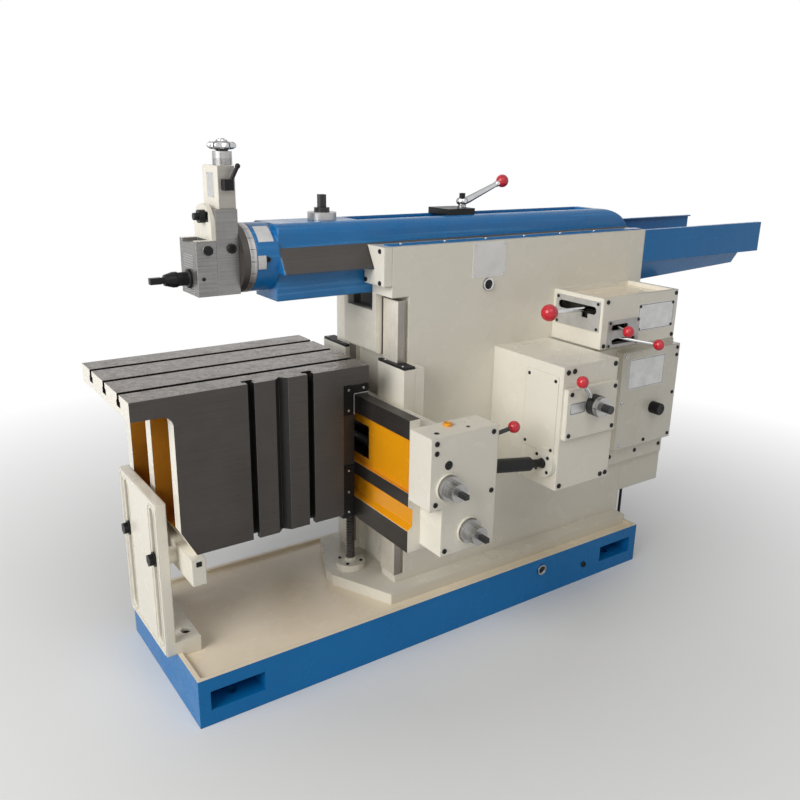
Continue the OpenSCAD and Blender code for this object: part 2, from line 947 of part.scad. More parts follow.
module ram_way_caps() {
    gap = loose;
    color(cream) both_sides() section_x(head_x - cap_t, head_x) polygon([
        [half_col, cap_low], [half_col, col_top], [dove_y(col_top) + gap, col_top],
        [dove_y(dove_z - gap) + gap, dove_z - gap], [ram_low + gap, dove_z - gap], [ram_low + gap, cap_low]
    ]);
}

module ram_gib() {
    low = dove_z - slip;
    color(dark_iron) section_x(head_x, rear_x) polygon([
        [-dove_y(low) - gib_t, low], [-dove_y(col_top) - gib_t, col_top],
        [-dove_y(col_top) - slip, col_top], [-dove_y(low) - slip, low]
    ]);
}

module rear_guard() {
    edge = guard_edge;
    low = guard_bend - guard_t;
    seam_out = half_col - guard_t / 4;
    seam_in = half_col - 3 * guard_t / 4;
    seam_z = guard_drop + guard_t;
    floor_in = guard_in - guard_t / 2;
    lower_l = guard_l - guard_cut;
    rise = atan2(guard_rise, lower_l);
    color(blue) {
        both_sides() section_x(rear_x, rear_x + guard_l) polygon([
            [half_col, low], [half_col, edge],
            [half_col - guard_fold, edge], [half_col - guard_fold, edge - guard_t],
            [half_col - guard_t, edge - guard_t], [half_col - guard_t, low]
        ]);
        difference() {
            translate([rear_x, 0, guard_floor]) rotate([0, -rise, 0]) section_x(-guard_l, lower_l) polygon([
                [-seam_out, seam_z], [-seam_out, guard_drop], [-guard_in, 0],
                [guard_in, 0], [seam_out, guard_drop], [seam_out, seam_z],
                [seam_in, seam_z], [seam_in, guard_drop + 1], [floor_in, guard_t],
                [-floor_in, guard_t], [-seam_in, guard_drop + 1], [-seam_in, seam_z]
            ]);
            block([-far, -far, 0], [rear_x, far, far]);
        }
    }
}

module rear_housing() {
    color(cream) difference() {
        block([rear_x, -half_col, rear_z0], [rear_x1, half_col, rear_z1]);
        block(
            [rear_x - 1, -half_col + rear_wall, rear_z0 + rear_wall],
            [rear_x1 - rear_wall, half_col - rear_wall, rear_z1 - rear_wall]
        );
        along_y([motor_x, 0, motor_z], motor_hole_r, far);
    }
}

module motor() {
    fins = 9;
    y0 = -motor_l / 2;
    fin_pitch = motor_l / fins;
    foot_y = [y0 + motor_foot[2], y0 + motor_l - motor_foot[2] - motor_foot[1]];
    color(blue) difference() {
        union() {
            along_y([motor_x, y0, motor_z], motor_r - motor_fin, motor_l);
            for (i = [0 : fins - 1])
                along_y([motor_x, y0 + i * fin_pitch, motor_z], motor_r, fin_pitch / 2);
            for (y = foot_y) block(
                [motor_x - motor_foot[0], y, rear_z0 + rear_wall],
                [motor_x + motor_foot[0], y + motor_foot[1], motor_z - motor_r / 2]
            );
            block(
                [motor_x - motor_box[0], -motor_box[0], motor_z],
                [motor_x + motor_box[0], motor_box[0], motor_z + motor_r + motor_box[1]]
            );
        }
        along_y([motor_x, -motor_shaft_in - 8, motor_z], motor_shaft_r + run, motor_l);
    }
}

// Outline round both pulleys, grown outward
module drive_loop_2d(grow) {
    p = [pinion_x, pinion_z];
    q = [motor_x, motor_z];
    b = atan2(q[1] - p[1], q[0] - p[0]);
    a = acos((pulley_r - motor_pulley_r) / norm(q - p));
    polygon(concat(
        arc(p, pulley_r + grow, b + a, b + 360 - a), arc(q, motor_pulley_r + grow, b - a, b + a)
    ));
}

module belt_guard() {
    color(blue) difference() {
        section_y(half_col, half_col + guard_d) drive_loop_2d(guard_gap + guard_t);
        section_y(half_col - 1, half_col + guard_d - guard_t) drive_loop_2d(guard_gap);
    }
}

module drive_belts() {
    grooves = 3;
    pitch = belt_w / grooves;
    color(rubber) for (i = [0 : grooves - 1]) {
        y = belt_y + pitch * (i + 0.5);
        section_y(y - belt_t / 2, y + belt_t / 2) difference() {
            drive_loop_2d(belt_gap + belt_t);
            drive_loop_2d(belt_gap);
        }
    }
}

module motor_pulley() {
    color(dark_iron) {
        along_y([motor_x, -motor_shaft_in, motor_z], motor_shaft_r, belt_y + belt_w + motor_shaft_in);
        along_y([motor_x, belt_y, motor_z], motor_pulley_r, belt_w);
    }
}

// Crank drive inside the column

module pinion_shaft() {
    color(steel) {
        y0 = bull_y0 - pinion_over;
        along_y([pinion_x, y0, pinion_z], shaft_r, belt_y + belt_w - y0);
        section_y(y0, bull_y1 + pinion_over) translate([pinion_x, pinion_z])
            rotate(mesh_a + 180) gear_2d(pinion_teeth, gear_m);
        along_y([pinion_x, belt_y, pinion_z], pulley_r, belt_w);
    }
}

module bull_gear() {
    turn = mesh_a + 180 / bull_teeth;
    color(dark_iron) {
        difference() {
            section_y(bull_y0, bull_y1) translate([gear_x, gear_z])
                rotate(turn) gear_2d(bull_teeth, gear_m);
            difference() {
                along_y([gear_x, bull_y0 - 1, gear_z], bull_r - bull_rim, bull_web + 1);
                along_y([gear_x, bull_y0 - 2, gear_z], journal_r + bull_hub, bull_web + 3);
                along_y([crank_x, bull_y0 - 2, crank_z], pin_r + pin_boss, bull_web + 3);
            }
        }
        along_y([gear_x, bull_y1, gear_z], journal_r, half_col - bull_y1 - journal_gap);
        along_y([crank_x, arm_t + 1, crank_z], pin_r, bull_y1 - arm_t - 2);
    }
}

// Places a shape along the rocker, from its pivot
module on_rocker() {
    translate([gear_x, 0, pivot_z]) rotate([0, rocker_lean, 0]) children();
}

module rocker_arm() {
    slot_z0 = crank_up - crank_r - block_l / 2 - block_gap;
    slot_z1 = crank_up + crank_r + block_l / 2 + block_gap;
    neck_z = slot_z1 + arm_bridge;
    color(dark_iron) on_rocker() difference() {
        union() {
            block([-arm_w / 2, -arm_t, 0], [arm_w / 2, arm_t, neck_z]);
            block([-arm_neck / 2, -arm_t, neck_z], [arm_neck / 2, arm_t, rocker_l]);
            along_y([0, -arm_t, 0], arm_w / 2, 2 * arm_t);
            along_y([0, -arm_t, rocker_l], arm_neck / 2, 2 * arm_t);
            along_y([0, -fork_out, rocker_l], top_pin_r, 2 * fork_out);
        }
        block(
            [-arm_slot / 2, -arm_t - 1, slot_z0],
            [arm_slot / 2, arm_t + 1, slot_z1]
        );
        along_y([0, -arm_t - 1, 0], rocker_pin_r + run, 2 * arm_t + 2);
    }
}

module slide_block() {
    color(steel) on_rocker() difference() {
        block(
            [-arm_slot / 2 + slip, -arm_t, crank_s - block_l / 2],
            [arm_slot / 2 - slip, arm_t, crank_s + block_l / 2]
        );
        along_y([0, -arm_t - 1, crank_s], pin_r + pass, 2 * arm_t + 2);
    }
}

module rocker_pin() {
    half_l = chamber_w / 2 + pin_in - loose;
    color(steel) along_y([gear_x, -half_l, pivot_z], rocker_pin_r, 2 * half_l);
}

// Ram and tool head

module ram_2d() {
    corner = [dove_top - ram_round, ram_top - ram_round];
    polygon(concat(
        [[-dove_top, dove_up], [-dove_low, dove_z], [-ram_low, dove_z], [-ram_low, ram_bot]],
        [[ram_low, ram_bot], [ram_low, dove_z], [dove_low, dove_z], [dove_top, dove_up]],
        arc(corner, ram_round, 0, 90), arc([-corner[0], corner[1]], ram_round, 90, 180)
    ));
}

module ram() {
    color(blue) difference() {
        union() {
            section_x(ram_x0, ram_x1) ram_2d();
            along_x([ram_x0 - neck_l, 0, axis_z], neck_r, neck_l + 1);
        }
        section_y(-dove_low - 1, dove_low + 1) polygon(concat(
            arc([ram_x1 - end_round, ram_top - end_round], end_round, 0, 90),
            [[ram_x1 - end_round, ram_top + 1], [ram_x1 + 1, ram_top + 1], [ram_x1 + 1, ram_top - end_round]]
        ));
        block(
            [ram_x0 + trough_end, -trough_w / 2, ram_bot - 1],
            [ram_x1 - trough_end, trough_w / 2, ram_bot + trough_h]
        );
        block(
            [ram_x0 + slot_front, -slot_w / 2, ram_top - slot_d],
            [ram_x1 - slot_back, slot_w / 2, ram_top + 1]
        );
        along_x([ram_x0 - neck_l - 1, 0, axis_z], spigot_r + run, spigot_l + 3);
        along_z([pos_x, 0, ram_top - pos_in], pos_r + run, pos_in + 1);
    }
}

module ram_link() {
    fork_bot = pivot_z + rocker_l * cos(swing + fork_over) - top_pin_r - fork_wall;
    plate_w = ram_low - fork_gap;
    plate_z = ram_bot - link_t;
    color(dark_iron) {
        block([link_x - link_half, -plate_w, plate_z], [link_x + link_half, plate_w, ram_bot]);
        both_sides() difference() {
            block(
                [link_x - fork_w / 2 - fork_wall, arm_t + fork_gap, fork_bot],
                [link_x + fork_w / 2 + fork_wall, fork_out - loose, plate_z + 1]
            );
            block([link_x - fork_w / 2, arm_t, fork_bot - 1], [link_x + fork_w / 2, fork_out, plate_z]);
        }
    }
}

module position_shaft() {
    nut_z = ram_top + pos_collar[1] - loose;
    square_z = nut_z + pos_nut[1] - loose;
    color(bright) along_z([pos_x, 0, ram_top + slip], pos_collar[0], pos_collar[1]);
    color(oxide) {
        along_z([pos_x, 0, ram_top - pos_in + loose], pos_r, pos_in);
        along_z([pos_x, 0, nut_z], pos_nut[0], pos_nut[1]);
        translate([pos_x, 0, square_z + pos_square[1] / 2])
            cube([pos_square[0], pos_square[0], pos_square[1]], center = true);
    }
}

module clamp_block() {
    color(oxide) {
        block([clamp_x0, -clamp_half, ram_top], [clamp_x0 + clamp_l, clamp_half, ram_top + clamp_t]);
        along_z([lever_x, 0, ram_top + clamp_t - 1], stud_r, stud_h);
    }
}

module clamp_lever() {
    z = ram_top + clamp_t + slip;
    root = [lever_x, 0, z] + clamp_root;
    tip = [lever_x, 0, z] + clamp_tip;
    color(bright) difference() {
        union() {
            along_z([lever_x, 0, z], clamp_hub[0], clamp_hub[1]);
            bar(root, tip, clamp_bar_r);
        }
        along_z([lever_x, 0, z - 1], stud_r + run, stud_h + clamp_hub[1]);
    }
    color(red) bar_ball(root, tip, ball_r);
}

module guide_2d(gap) {
    front = slide_back - guide_t - gap;
    polygon([
        [slide_back, -guide_w + guide_in - gap], [front, -guide_w - gap],
        [front, guide_w + gap], [slide_back, guide_w - guide_in + gap]
    ]);
}

module swivel_head() {
    nut_z = axis_z - nut_h / 2;
    front = slide_back - guide_t - 1;
    color(steel) difference() {
        union() {
            along_x([slide_back, 0, axis_z], neck_r, disc_t);
            along_x([disc_x, 0, axis_z], neck_r + pass, ring_t);
            along_x([ring_x, 0, axis_z], spigot_r, spigot_l);
            difference() {
                translate([0, 0, guide_bot]) linear_extrude(guide_top - guide_bot) guide_2d(0);
                block([front, -screw_gap, slide_bot], [slide_back, screw_gap, nut_z]);
                block([front, -screw_gap, nut_z + nut_h], [slide_back, screw_gap, slide_top]);
            }
        }
        along_z([screw_x, 0, slide_bot - 1], screw_r + pass, slide_l);
    }
}

module tool_slide() {
    color(steel) difference() {
        block([slide_x, -slide_w, slide_bot], [slide_back - slip, slide_w, slide_top]);
        translate([0, 0, slide_bot - 1]) linear_extrude(slide_l + 2) guide_2d(slip);
        along_x([slide_x - 1, 0, apron_pivot_z], apron_stud_r + run, head_in + 1);
        along_x([slide_x - 1, apron_bolt_y, apron_bolt_z], apron_bolt_r + run, head_in + 1);
    }
}

module slide_housing() {
    cap = housing_cap;
    color(cream) difference() {
        block([housing_x, -housing_w, slide_top], [slide_back - slip, housing_w, housing_top]);
        translate([0, 0, slide_top - 1]) linear_extrude(housing_h - cap + 1) guide_2d(slip);
        along_z([screw_x, 0, housing_top - cap - 1], screw_r + run, cap + 2);
        along_y([lock_x, -housing_w - 1, lock_z], lock_pin_r + run, lock_in + 1);
    }
}

module downfeed_screw() {
    color(bright) {
        along_z([screw_x, 0, slide_bot + screw_up], screw_r, wheel_z + wheel_h + 3 - slide_bot - screw_up);
        along_z([screw_x, 0, housing_top + slip], collar_r, wheel_z - housing_top - slip);
    }
}

module handwheel() {
    lobes = 8;
    lobe_r = 8;
    hub_r = 15;
    rim_in = 6;
    lobe_in = 4;
    color(bright) translate([screw_x, 0, wheel_z]) difference() {
        union() {
            cylinder(h = wheel_h, r = hub_r);
            translate([0, 0, rim_in]) cylinder(h = wheel_h - 2 * rim_in, r = wheel_r - lobe_r);
            for (i = [0 : lobes - 1]) rotate(i * 360 / lobes)
                translate([wheel_r - lobe_r, 0, lobe_in]) cylinder(h = wheel_h - 2 * lobe_in, r = lobe_r);
        }
        translate([0, 0, -1]) cylinder(h = wheel_h + 2, r = screw_r + run);
    }
}

module slide_lock() {
    y = -housing_w - slip - lock_hub[1];
    root = [lock_x, y, lock_z] + lock_root;
    tip = [lock_x, y, lock_z] + lock_tip;
    color(oxide) {
        translate([lock_x, y + lock_hub[1] / 2, lock_z]) cube(lock_hub, center = true);
        along_y([lock_x, y + lock_hub[1] - 2, lock_z], lock_pin_r, lock_in + 1);
        bar(root, tip, lock_bar_r);
        bar_ball(root, tip, lock_ball_r);
    }
}

module apron() {
    round_z = apron_top - slide_w;
    slot_half = apron_bolt_r + apron_slot_gap;
    cheek_top = slide_bot + clap_h + cheek_over;
    color(cream) difference() {
        union() {
            block([apron_x, -slide_w, slide_bot], [slide_x - slip, slide_w, round_z]);
            along_x([apron_x, 0, round_z], slide_w, apron_t);
            both_sides() block([clap_x, clap_in, slide_bot], [apron_x, slide_w, cheek_top]);
            along_x([slide_x - slip - 1, 0, apron_pivot_z], apron_stud_r, head_in);
        }
        block(
            [apron_x - 1, apron_bolt_y - apron_slot_l / 2, apron_bolt_z - slot_half],
            [slide_x, apron_bolt_y + apron_slot_l / 2, apron_bolt_z + slot_half]
        );
        along_y([clap_pin_x, -slide_w - 1, clap_pin_z], clap_pin_r + run, 2 * slide_w + 2);
    }
}

module apron_bolt() {
    color(oxide) {
        along_x([apron_x - apron_nut[1], apron_bolt_y, apron_bolt_z], apron_nut[0], apron_nut[1] - slip);
        along_x(
            [apron_x - apron_stud_out, apron_bolt_y, apron_bolt_z],
            apron_bolt_r, apron_stud_out + apron_t + head_in - 1
        );
    }
}

module clapper() {
    half = clap_in - pass;
    back = apron_x - pass;
    color(steel) difference() {
        union() {
            block([clap_x, -half, slide_bot], [back, half, clap_pin_z]);
            along_y([clap_pin_x, -half, clap_pin_z], back - clap_pin_x, 2 * half);
            block([clap_x, -half, clap_pin_z - 1], [clap_pin_x, half, slide_bot + clap_h]);
        }
        along_y([clap_pin_x, -half - 1, clap_pin_z], clap_pin_r + run, 2 * half + 2);
    }
}

module clapper_pin() {
    color(oxide) {
        along_y([clap_pin_x, -slide_w - 1, clap_pin_z], clap_pin_r, 2 * slide_w + 3);
        along_y([clap_pin_x, -slide_w - clap_pin_head[1], clap_pin_z], clap_pin_head[0], clap_pin_head[1]);
    }
}

module tool_post() {
    nose_r = 9;
    root_r = 13;
    color(oxide) {
        along_x([clap_x - post_collar[1], 0, post_z], post_collar[0], post_collar[1]);
        along_x([clap_x - post_l + post_tip, 0, post_z], post_r, post_l - post_tip);
        translate([clap_x - post_l, 0, post_z])
            rotate([0, 90, 0]) cylinder(h = post_tip + 1, r1 = nose_r, r2 = root_r);
    }
}

// Crossrail and what it carries

module rail_2d() {
    low = rail_z + low_way;
    high = low + recess_h;
    polygon([
        [rail_x, rail_z], [rail_x, low],
        [rail_x + recess_in, low + recess_slope[0]], [rail_x + recess_in, high - recess_slope[1]],
        [rail_x, high], [rail_x, panel_z0], [rail_x + panel_in, panel_z0], [rail_x + panel_in, panel_z1],
        [rail_x, panel_z1], [rail_x, rail_top],
        [rail_x + rail_lip, rail_top], [rail_x + rail_lip, rail_body],
        [rail_back, rail_body], [rail_back, rail_z]
    ]);
}

module crossrail() {
    color(cream) difference() {
        union() {
            section_y(-rail_near, rail_far) rail_2d();
            both_sides() {
                block([clamp_x, clamp_in, rail_body - 1], [rail_back, clamp_out, clamp_top]);
                block([rail_back - 1, half_col + slip, rail_z], [way_back + slip, clamp_out, clamp_top]);
            }
        }
        block(
            [rail_x - 1, channel_y0, cross_z - channel_h / 2],
            [cross_x + channel_h / 2 + channel_back, channel_y1, cross_z + channel_up]
        );
        along_y([cross_x, -rail_near - 1, cross_z], cross_r + run, rail_near + rail_far - end_wall + 2);
        along_z([lift_x, 0, rail_z - 1], lift_r + pass, lift_bore - rail_z + 1);
    }
}

module way_keepers() {
    color(cream) both_sides() {
        block([way_back + slip, half_col - keep_d + pass, rail_z], [col_x - pass, clamp_out, clamp_top]);
        block([col_x - pass - 1, half_col + pass, rail_z], [col_x + keeper_over, clamp_out, clamp_top]);
    }
}

module elevating_screw() {
    color(bright) difference() {
        along_z([lift_x, 0, pad_top], lift_r, lift_top - pad_top);
        along_z([lift_x, 0, pad_top - 1], inner_r + pass, lift_top);
    }
}

module inner_screw() {
    color(bright) along_z([lift_x, 0, inner_bot], inner_r, lift_bore - inner_bot);
}

module screw_flange() {
    collar_top = flange_h + flange_collar[1];
    color(bright) difference() {
        union() {
            along_z([lift_x, 0, pad_top], flange_r, flange_h);
            along_z([lift_x, 0, pad_top], lift_r + flange_collar[0], collar_top);
        }
        along_z([lift_x, 0, pad_top - 1], lift_r + run, collar_top + 2);
    }
}

module cross_gearbox() {
    w = box_wall;
    color(cream) difference() {
        union() {
            block([gear_x0, gear_y0, gear_mid], [gear_x1, gear_y1, gear_top]);
            block([gear_x0 + gear_step, gear_y0, gear_bot], [gear_x1, gear_y1, gear_mid]);
        }
        block([gear_x0 + w, gear_y0 + w, gear_mid + w], [gear_x1 - w, gear_y1 - w, gear_top - w]);
        block(
            [gear_x0 + gear_step + w, gear_y0 + w, gear_bot + w],
            [gear_x1 - w, gear_y1 - w, gear_mid + w + 1]
        );
        block(
            [gear_x0 + gear_step + w, gear_y1 - w - 1, gear_bot + w],
            [rail_back - w, gear_y1 + 1, gear_top - w]
        );
        along_y([cross_x, gear_y0 - 1, cross_z], cross_r + run, gear_d + 2);
        along_y([lift_dial_x, gear_y0 - 1, lift_dial_z], lift_shaft_r + run, gear_d);
        along_x([gear_x1 - w - 1, shaft_y, uj_z0], sleeve_ball + seat, w + 2);
        along_x([gear_x1 - w - 1, shaft_y, reverse_z], reverse_r + seat, w + 2);
    }
}

// Graduated collar with a squared shaft end, on the near face of a box
module dial(x, y, z) {
    face = y - dial_rim;
    along_y([x, face, z], dial_r + dial_step, dial_rim - slip);
    along_y([x, face - dial_l, z], dial_r - dial_step, dial_l + 1);
    translate([x, face - dial_l - square_out + square_l / 2, z])
        cube([square_w, square_l, square_w], center = true);
}

module cross_screw() {
    color(bright) {
        along_y([cross_x, gear_y0 - 2, cross_z], cross_r, gear_d + rail_near + rail_far - end_wall);
        dial(cross_x, gear_y0, cross_z);
    }
}

module elevation_shaft() {
    color(bright) {
        along_y([lift_dial_x, gear_y0 - 2, lift_dial_z], lift_shaft_r, gear_d);
        dial(lift_dial_x, gear_y0, lift_dial_z);
    }
}

module reverse_lever() {
    root = [gear_x1, shaft_y, reverse_z];
    tip = root + reverse_out;
    color(oxide) {
        along_z(root - [0, 0, reverse_pin_h / 2], reverse_pin_r, reverse_pin_h);
        bar(root, tip, reverse_bar_r);
    }
    color(red) translate(tip) sphere(r = ball_r);
}

// Places a shape along the feed shaft, with +Z running towards the feed box
module on_feed_shaft() {
    translate([uj_x0, shaft_y, uj_z0]) rotate([0, 90 + uj_a, 0]) children();
}

module feed_sleeve() {
    tube_z = sleeve_neck[1] - 2;
    color(oxide) on_feed_shaft() difference() {
        union() {
            sphere(r = sleeve_ball);
            cylinder(h = sleeve_neck[1], r = sleeve_neck[0]);
            translate([0, 0, tube_z]) cylinder(h = sleeve_l - tube_z, r = sleeve_r);
        }
        translate([0, 0, tube_z + sleeve_floor]) cylinder(h = sleeve_l, r = sleeve_bore);
    }
}

module feed_rod() {
    color(oxide) on_feed_shaft() {
        translate([0, 0, uj_l]) sphere(r = yoke_r);
        translate([0, 0, uj_l - yoke_l]) cylinder(h = yoke_l, r = yoke_r - yoke_step);
        translate([0, 0, uj_l - rod_l]) cylinder(h = rod_l - yoke_l + 1, r = rod_r);
    }
}

module tee_slot_2d(deep) {
    translate([-tee_w / 2, -tee_lip - 1]) square([tee_w, tee_lip + 2]);
    translate([-tee_head / 2, -deep]) square([tee_head, deep - tee_lip]);
}

// Upright slots, the vee and the hollow bays of the table box
module table_cuts() {
    for (x = side_slots) translate([table_x0 + x, table_y0, table_bot - 1])
        linear_extrude(table_h + 2) rotate(180) tee_slot_2d(tee_deep);
    translate([table_x0 + vee_at, table_y0, table_bot - 1]) linear_extrude(table_h + 2) polygon([
        [-vee_w / 2, -1], [vee_w / 2, -1], [vee_w / 2, 0], [0, vee_w / 2], [-vee_w / 2, 0]
    ]);
    for (y = [table_y0 + table_wall, table_y + table_wall / 2]) block(
        [box_x0 - cove_r - 1, y, table_bot + table_wall],
        [box_x1 - table_wall, y + bay_w, slab_z - bay_top]
    );
    section_y(table_y0 - 1, table_y1 + 1) polygon([
        [box_x0 - 1, table_bot - 1], [box_x0 + toe[0], table_bot - 1], [box_x0 + toe[0], table_bot],
        [box_x0, table_bot + toe[1]], [box_x0 - 1, table_bot + toe[1]]
    ]);
}

module table() {
    hook_z = rail_top + slip;
    hook_x = rail_x + rail_lip + pass;
    hook_end = hook_x + hook_leg;
    color(steel) difference() {
        union() {
            block([table_x0, table_y0, slab_z], [slab_x1, table_y1, table_top]);
            block([box_x0, table_y0, table_bot], [box_x1, table_y1, slab_z + 1]);
            block([box_x1 - 1, saddle_y0, table_bot], [slab_x1, saddle_y1, slab_z + 1]);
            section_y(table_y0, table_y1) polygon(concat(
                [[box_x0 + 1, slab_z + 1], [box_x0 - cove_r, slab_z + 1]],
                arc([box_x0 - cove_r, slab_z - cove_r], cove_r, 90, 0),
                [[box_x0 + 1, slab_z - cove_r]]
            ));
            block([table_x1 - saddle_t, saddle_y0, rail_z + saddle_foot], [table_x1, saddle_y1, hook_z + hook_t]);
            block([slab_x1, saddle_y0, hook_z], [hook_end, saddle_y1, hook_z + hook_t]);
            block([hook_x, saddle_y0, rail_body + loose], [hook_end, saddle_y1, hook_z + hook_t]);
            block(
                [table_x1 - 1, nut_y - nut_l / 2, cross_z - nut_half],
                [cross_x + nut_half, nut_y + nut_l / 2, cross_z + nut_half]
            );
        }
        for (i = [-1 : 1]) section_x(table_x0 - 1, slab_x1 + 1)
            translate([table_y + i * tee_pitch, table_top]) tee_slot_2d(tee_deep);
        table_cuts();
        along_y([cross_x, nut_y - nut_l, cross_z], cross_r + pass, 2 * nut_l);
    }
}

// Boxes on the column's near side

module feed_box() {
    w = box_wall;
    color(cream) difference() {
        union() {
            block([feed_x0, feed_y0, feed_z0], [feed_x1, side_y, feed_z1]);
            along_x([feed_x0 - flange_t, shaft_y, flange_z], shaft_flange_r, flange_t + 1);
        }
        block([feed_x0 + w, feed_y0 + w, feed_z0 + w], [feed_x1 - w, side_y + 1, feed_z1 - w]);
        along_x([feed_x0 - flange_t - 1, shaft_y, flange_z], yoke_r + seat, flange_t + 4);
        along_y([feed_hub[0], feed_y0 - 1, feed_hub[1]], feed_shaft_r + run, w + 2);
    }
}

module feed_box_cover() {
    color(cream) difference() {
        block([feed_pad[0], feed_y0 - feed_pad_t, feed_pad[2]], [feed_pad[1], feed_y0, feed_pad[3]]);
        along_y([feed_hub[0], feed_y0 - feed_pad_t - 1, feed_hub[1]], feed_shaft_r + run, feed_pad_t + 2);
    }
}

module feed_lever() {
    y = feed_y0 - feed_pad_t - slip;
    root = [feed_hub[0] + feed_root[0], y - feed_hub_l / 2, feed_hub[1] + feed_root[1]];
    tip = [feed_hub[0], y, feed_hub[1]] + feed_tip;
    color(oxide) difference() {
        along_y([feed_hub[0], y - feed_hub_l, feed_hub[1]], feed_hub_r, feed_hub_l);
        along_y([feed_hub[0], y - feed_hub_l - 1, feed_hub[1]], feed_shaft_r + run, feed_hub_l + 2);
    }
    color(bright) bar(root, tip, feed_bar_r);
    color(red) bar_ball(root, tip, ball_r);
}

module feed_dial() {
    y = feed_y0 - feed_pad_t - feed_hub_l - 2 * slip;
    end = feed_y0 + box_wall + feed_shaft_in;
    start = y - feed_square_l;
    color(oxide) along_y([feed_hub[0], start, feed_hub[1]], feed_shaft_r, end - start);
    color(bright) along_y([feed_hub[0], y - feed_dial_l, feed_hub[1]], feed_dial_r, feed_dial_l);
}

// A slot along X, Y or Z through a plate on the XZ or YZ plane
module slot_xz(x0, x1, z, y0, y1, w) {
    section_y(y0, y1) translate([(x0 + x1) / 2, z]) slot_2d(x1 - x0, w);
}

module slot_yz(y0, y1, z, x0, x1, w) {
    section_x(x0, x1) translate([(y0 + y1) / 2, z]) slot_2d(y1 - y0, w);
}

module lever_slots(y0, y1, grow) {
    for (s = [slot_upper, slot_lower])
        slot_xz(s[0] - grow, s[1] + grow, s[2], y0, y1, lever_slot + 2 * grow);
}

module clutch_slots(x0, x1, grow) {
    w = clutch_gap + 2 * grow;
    slot_yz(clutch_slot[0] - grow, clutch_slot[1] + grow, clutch_slot[2], x0, x1, w);
    block(
        [x0, clutch_pivot[1] - w / 2, clutch_slot[2] - clutch_drop - grow],
        [x1, clutch_pivot[1] + w / 2, clutch_slot[2]]
    );
}

module speed_box() {
    w = box_wall;
    color(cream) difference() {
        union() {
            difference() {
                block([speed_x0, speed_y0, speed_z0], [speed_x1, side_y, speed_z1]);
                block([speed_x0 + w, speed_y0 + w, speed_z0 + w], [speed_x1 - w, side_y + 1, ceiling_z]);
                block([speed_x0 + w, speed_y0 + w, tray_floor], [speed_x1 - w, side_y - w, speed_z1 + 1]);
            }
            block(
                [speed_x0 + 1, speed_y0 + 1, shelf_z],
                [lower_pivot[0] + 3 * lever_hub_r, speed_y0 + lever_in + lever_hub_r, shelf_z + shelf_t]
            );
            along_z([clutch_pivot[0], clutch_pivot[1], clutch_top], lever_hub_r, ceiling_z - clutch_top + 1);
        }
        lever_slots(speed_y0 - 1, speed_y0 + w + 1, 2);
        clutch_slots(speed_x0 - 1, speed_x0 + w + 1, 2);
        for (p = [upper_pivot, lower_pivot])
            along_z([p[0], p[1], shelf_z - 1], lever_pin_r + run, shelf_t + 2);
        along_z([clutch_pivot[0], clutch_pivot[1], clutch_top - 1], lever_pin_r + run, clutch_pin_l + 3);
    }
}

module lever_plates() {
    color(bright) {
        difference() {
            block(
                [speed_plate[0], speed_y0 - plate_t, speed_plate[2]],
                [speed_plate[1], speed_y0, speed_plate[3]]
            );
            lever_slots(speed_y0 - plate_t - 1, speed_y0 + 1, 0);
        }
        difference() {
            block(
                [speed_x0 - plate_t, clutch_plate[0], clutch_plate[2]],
                [speed_x0, clutch_plate[1], clutch_plate[3]]
            );
            clutch_slots(speed_x0 - plate_t - 1, speed_x0 + 1, 0);
        }
    }
}

// A lever that turns on an upright pin
module pivot_lever(pivot, out, z0, z1, pin0, pin1, r, grip) {
    color(bright) {
        along_z([pivot[0], pivot[1], z0], lever_hub_r, z1 - z0);
        along_z([pivot[0], pivot[1], pin0], lever_pin_r, pin1 - pin0);
        bar(pivot, pivot + out, r);
    }
    color(red) bar_ball(pivot, pivot + out, grip);
}

module speed_lever_upper() {
    low = shelf_z + shelf_t + slip;
    high = upper_pivot[2] + lever_hub_h;
    pivot_lever(upper_pivot, upper_out, low, high, shelf_z + shelf_t / 2, low + 1, lever_r, ball_r);
}

module speed_lever_lower() {
    high = shelf_z - slip;
    low = lower_pivot[2] - lever_hub_h;
    pivot_lever(lower_pivot, lower_out, low, high, high - 1, shelf_z + shelf_t / 2, lever_r, ball_r);
}

module clutch_lever() {
    high = clutch_top - slip;
    low = clutch_pivot[2] - clutch_hub_h;
    pin_top = clutch_top + clutch_pin_l;
    pivot_lever(clutch_pivot, clutch_out, low, high, high - 1, pin_top, clutch_rod_r, clutch_ball_r);
}

module gear_plate() {
    color(cream) difference() {
        block([cover_x0, side_y - cover_t, cover_z0], [cover_x1, side_y, cover_z1]);
        along_y([knob_x, side_y - cover_t - 1, knob_z], knob_shaft_r + run, knob_in + 1);
    }
}

module gear_cover() {
    color(cream) difference() {
        block(
            [cover_x0 + cover_in[0], side_y - cover_t - cover_d, cover_z0 + cover_in[1]],
            [cover_x1, side_y - cover_t, cover_z1 - cover_in[2]]
        );
        along_y([knob_x, side_y - far, knob_z], knob_shaft_r + run, far);
    }
}

module cover_knob() {
    y = side_y - cover_t - cover_d - slip;
    color(oxide) {
        along_y([knob_x, y - knob_l, knob_z], knob_r, knob_l);
        along_y([knob_x, y - 1, knob_z], knob_shaft_r, cover_d + knob_in - 1);
    }
}

module sight_glasses() {
    places = [
        [fx(base_glass_at), -base_w / 2, base_h - base_glass_down],
        [col_x + column_glass_in, side_y, head_z + column_glass_up]
    ];
    color(bright) for (p = places) translate(p) rotate([90, 0, 0]) difference() {
        cylinder(h = glass_t, r = glass_r);
        translate([0, 0, glass_rim]) cylinder(h = glass_t, r = glass_r - glass_rim);
    }
}

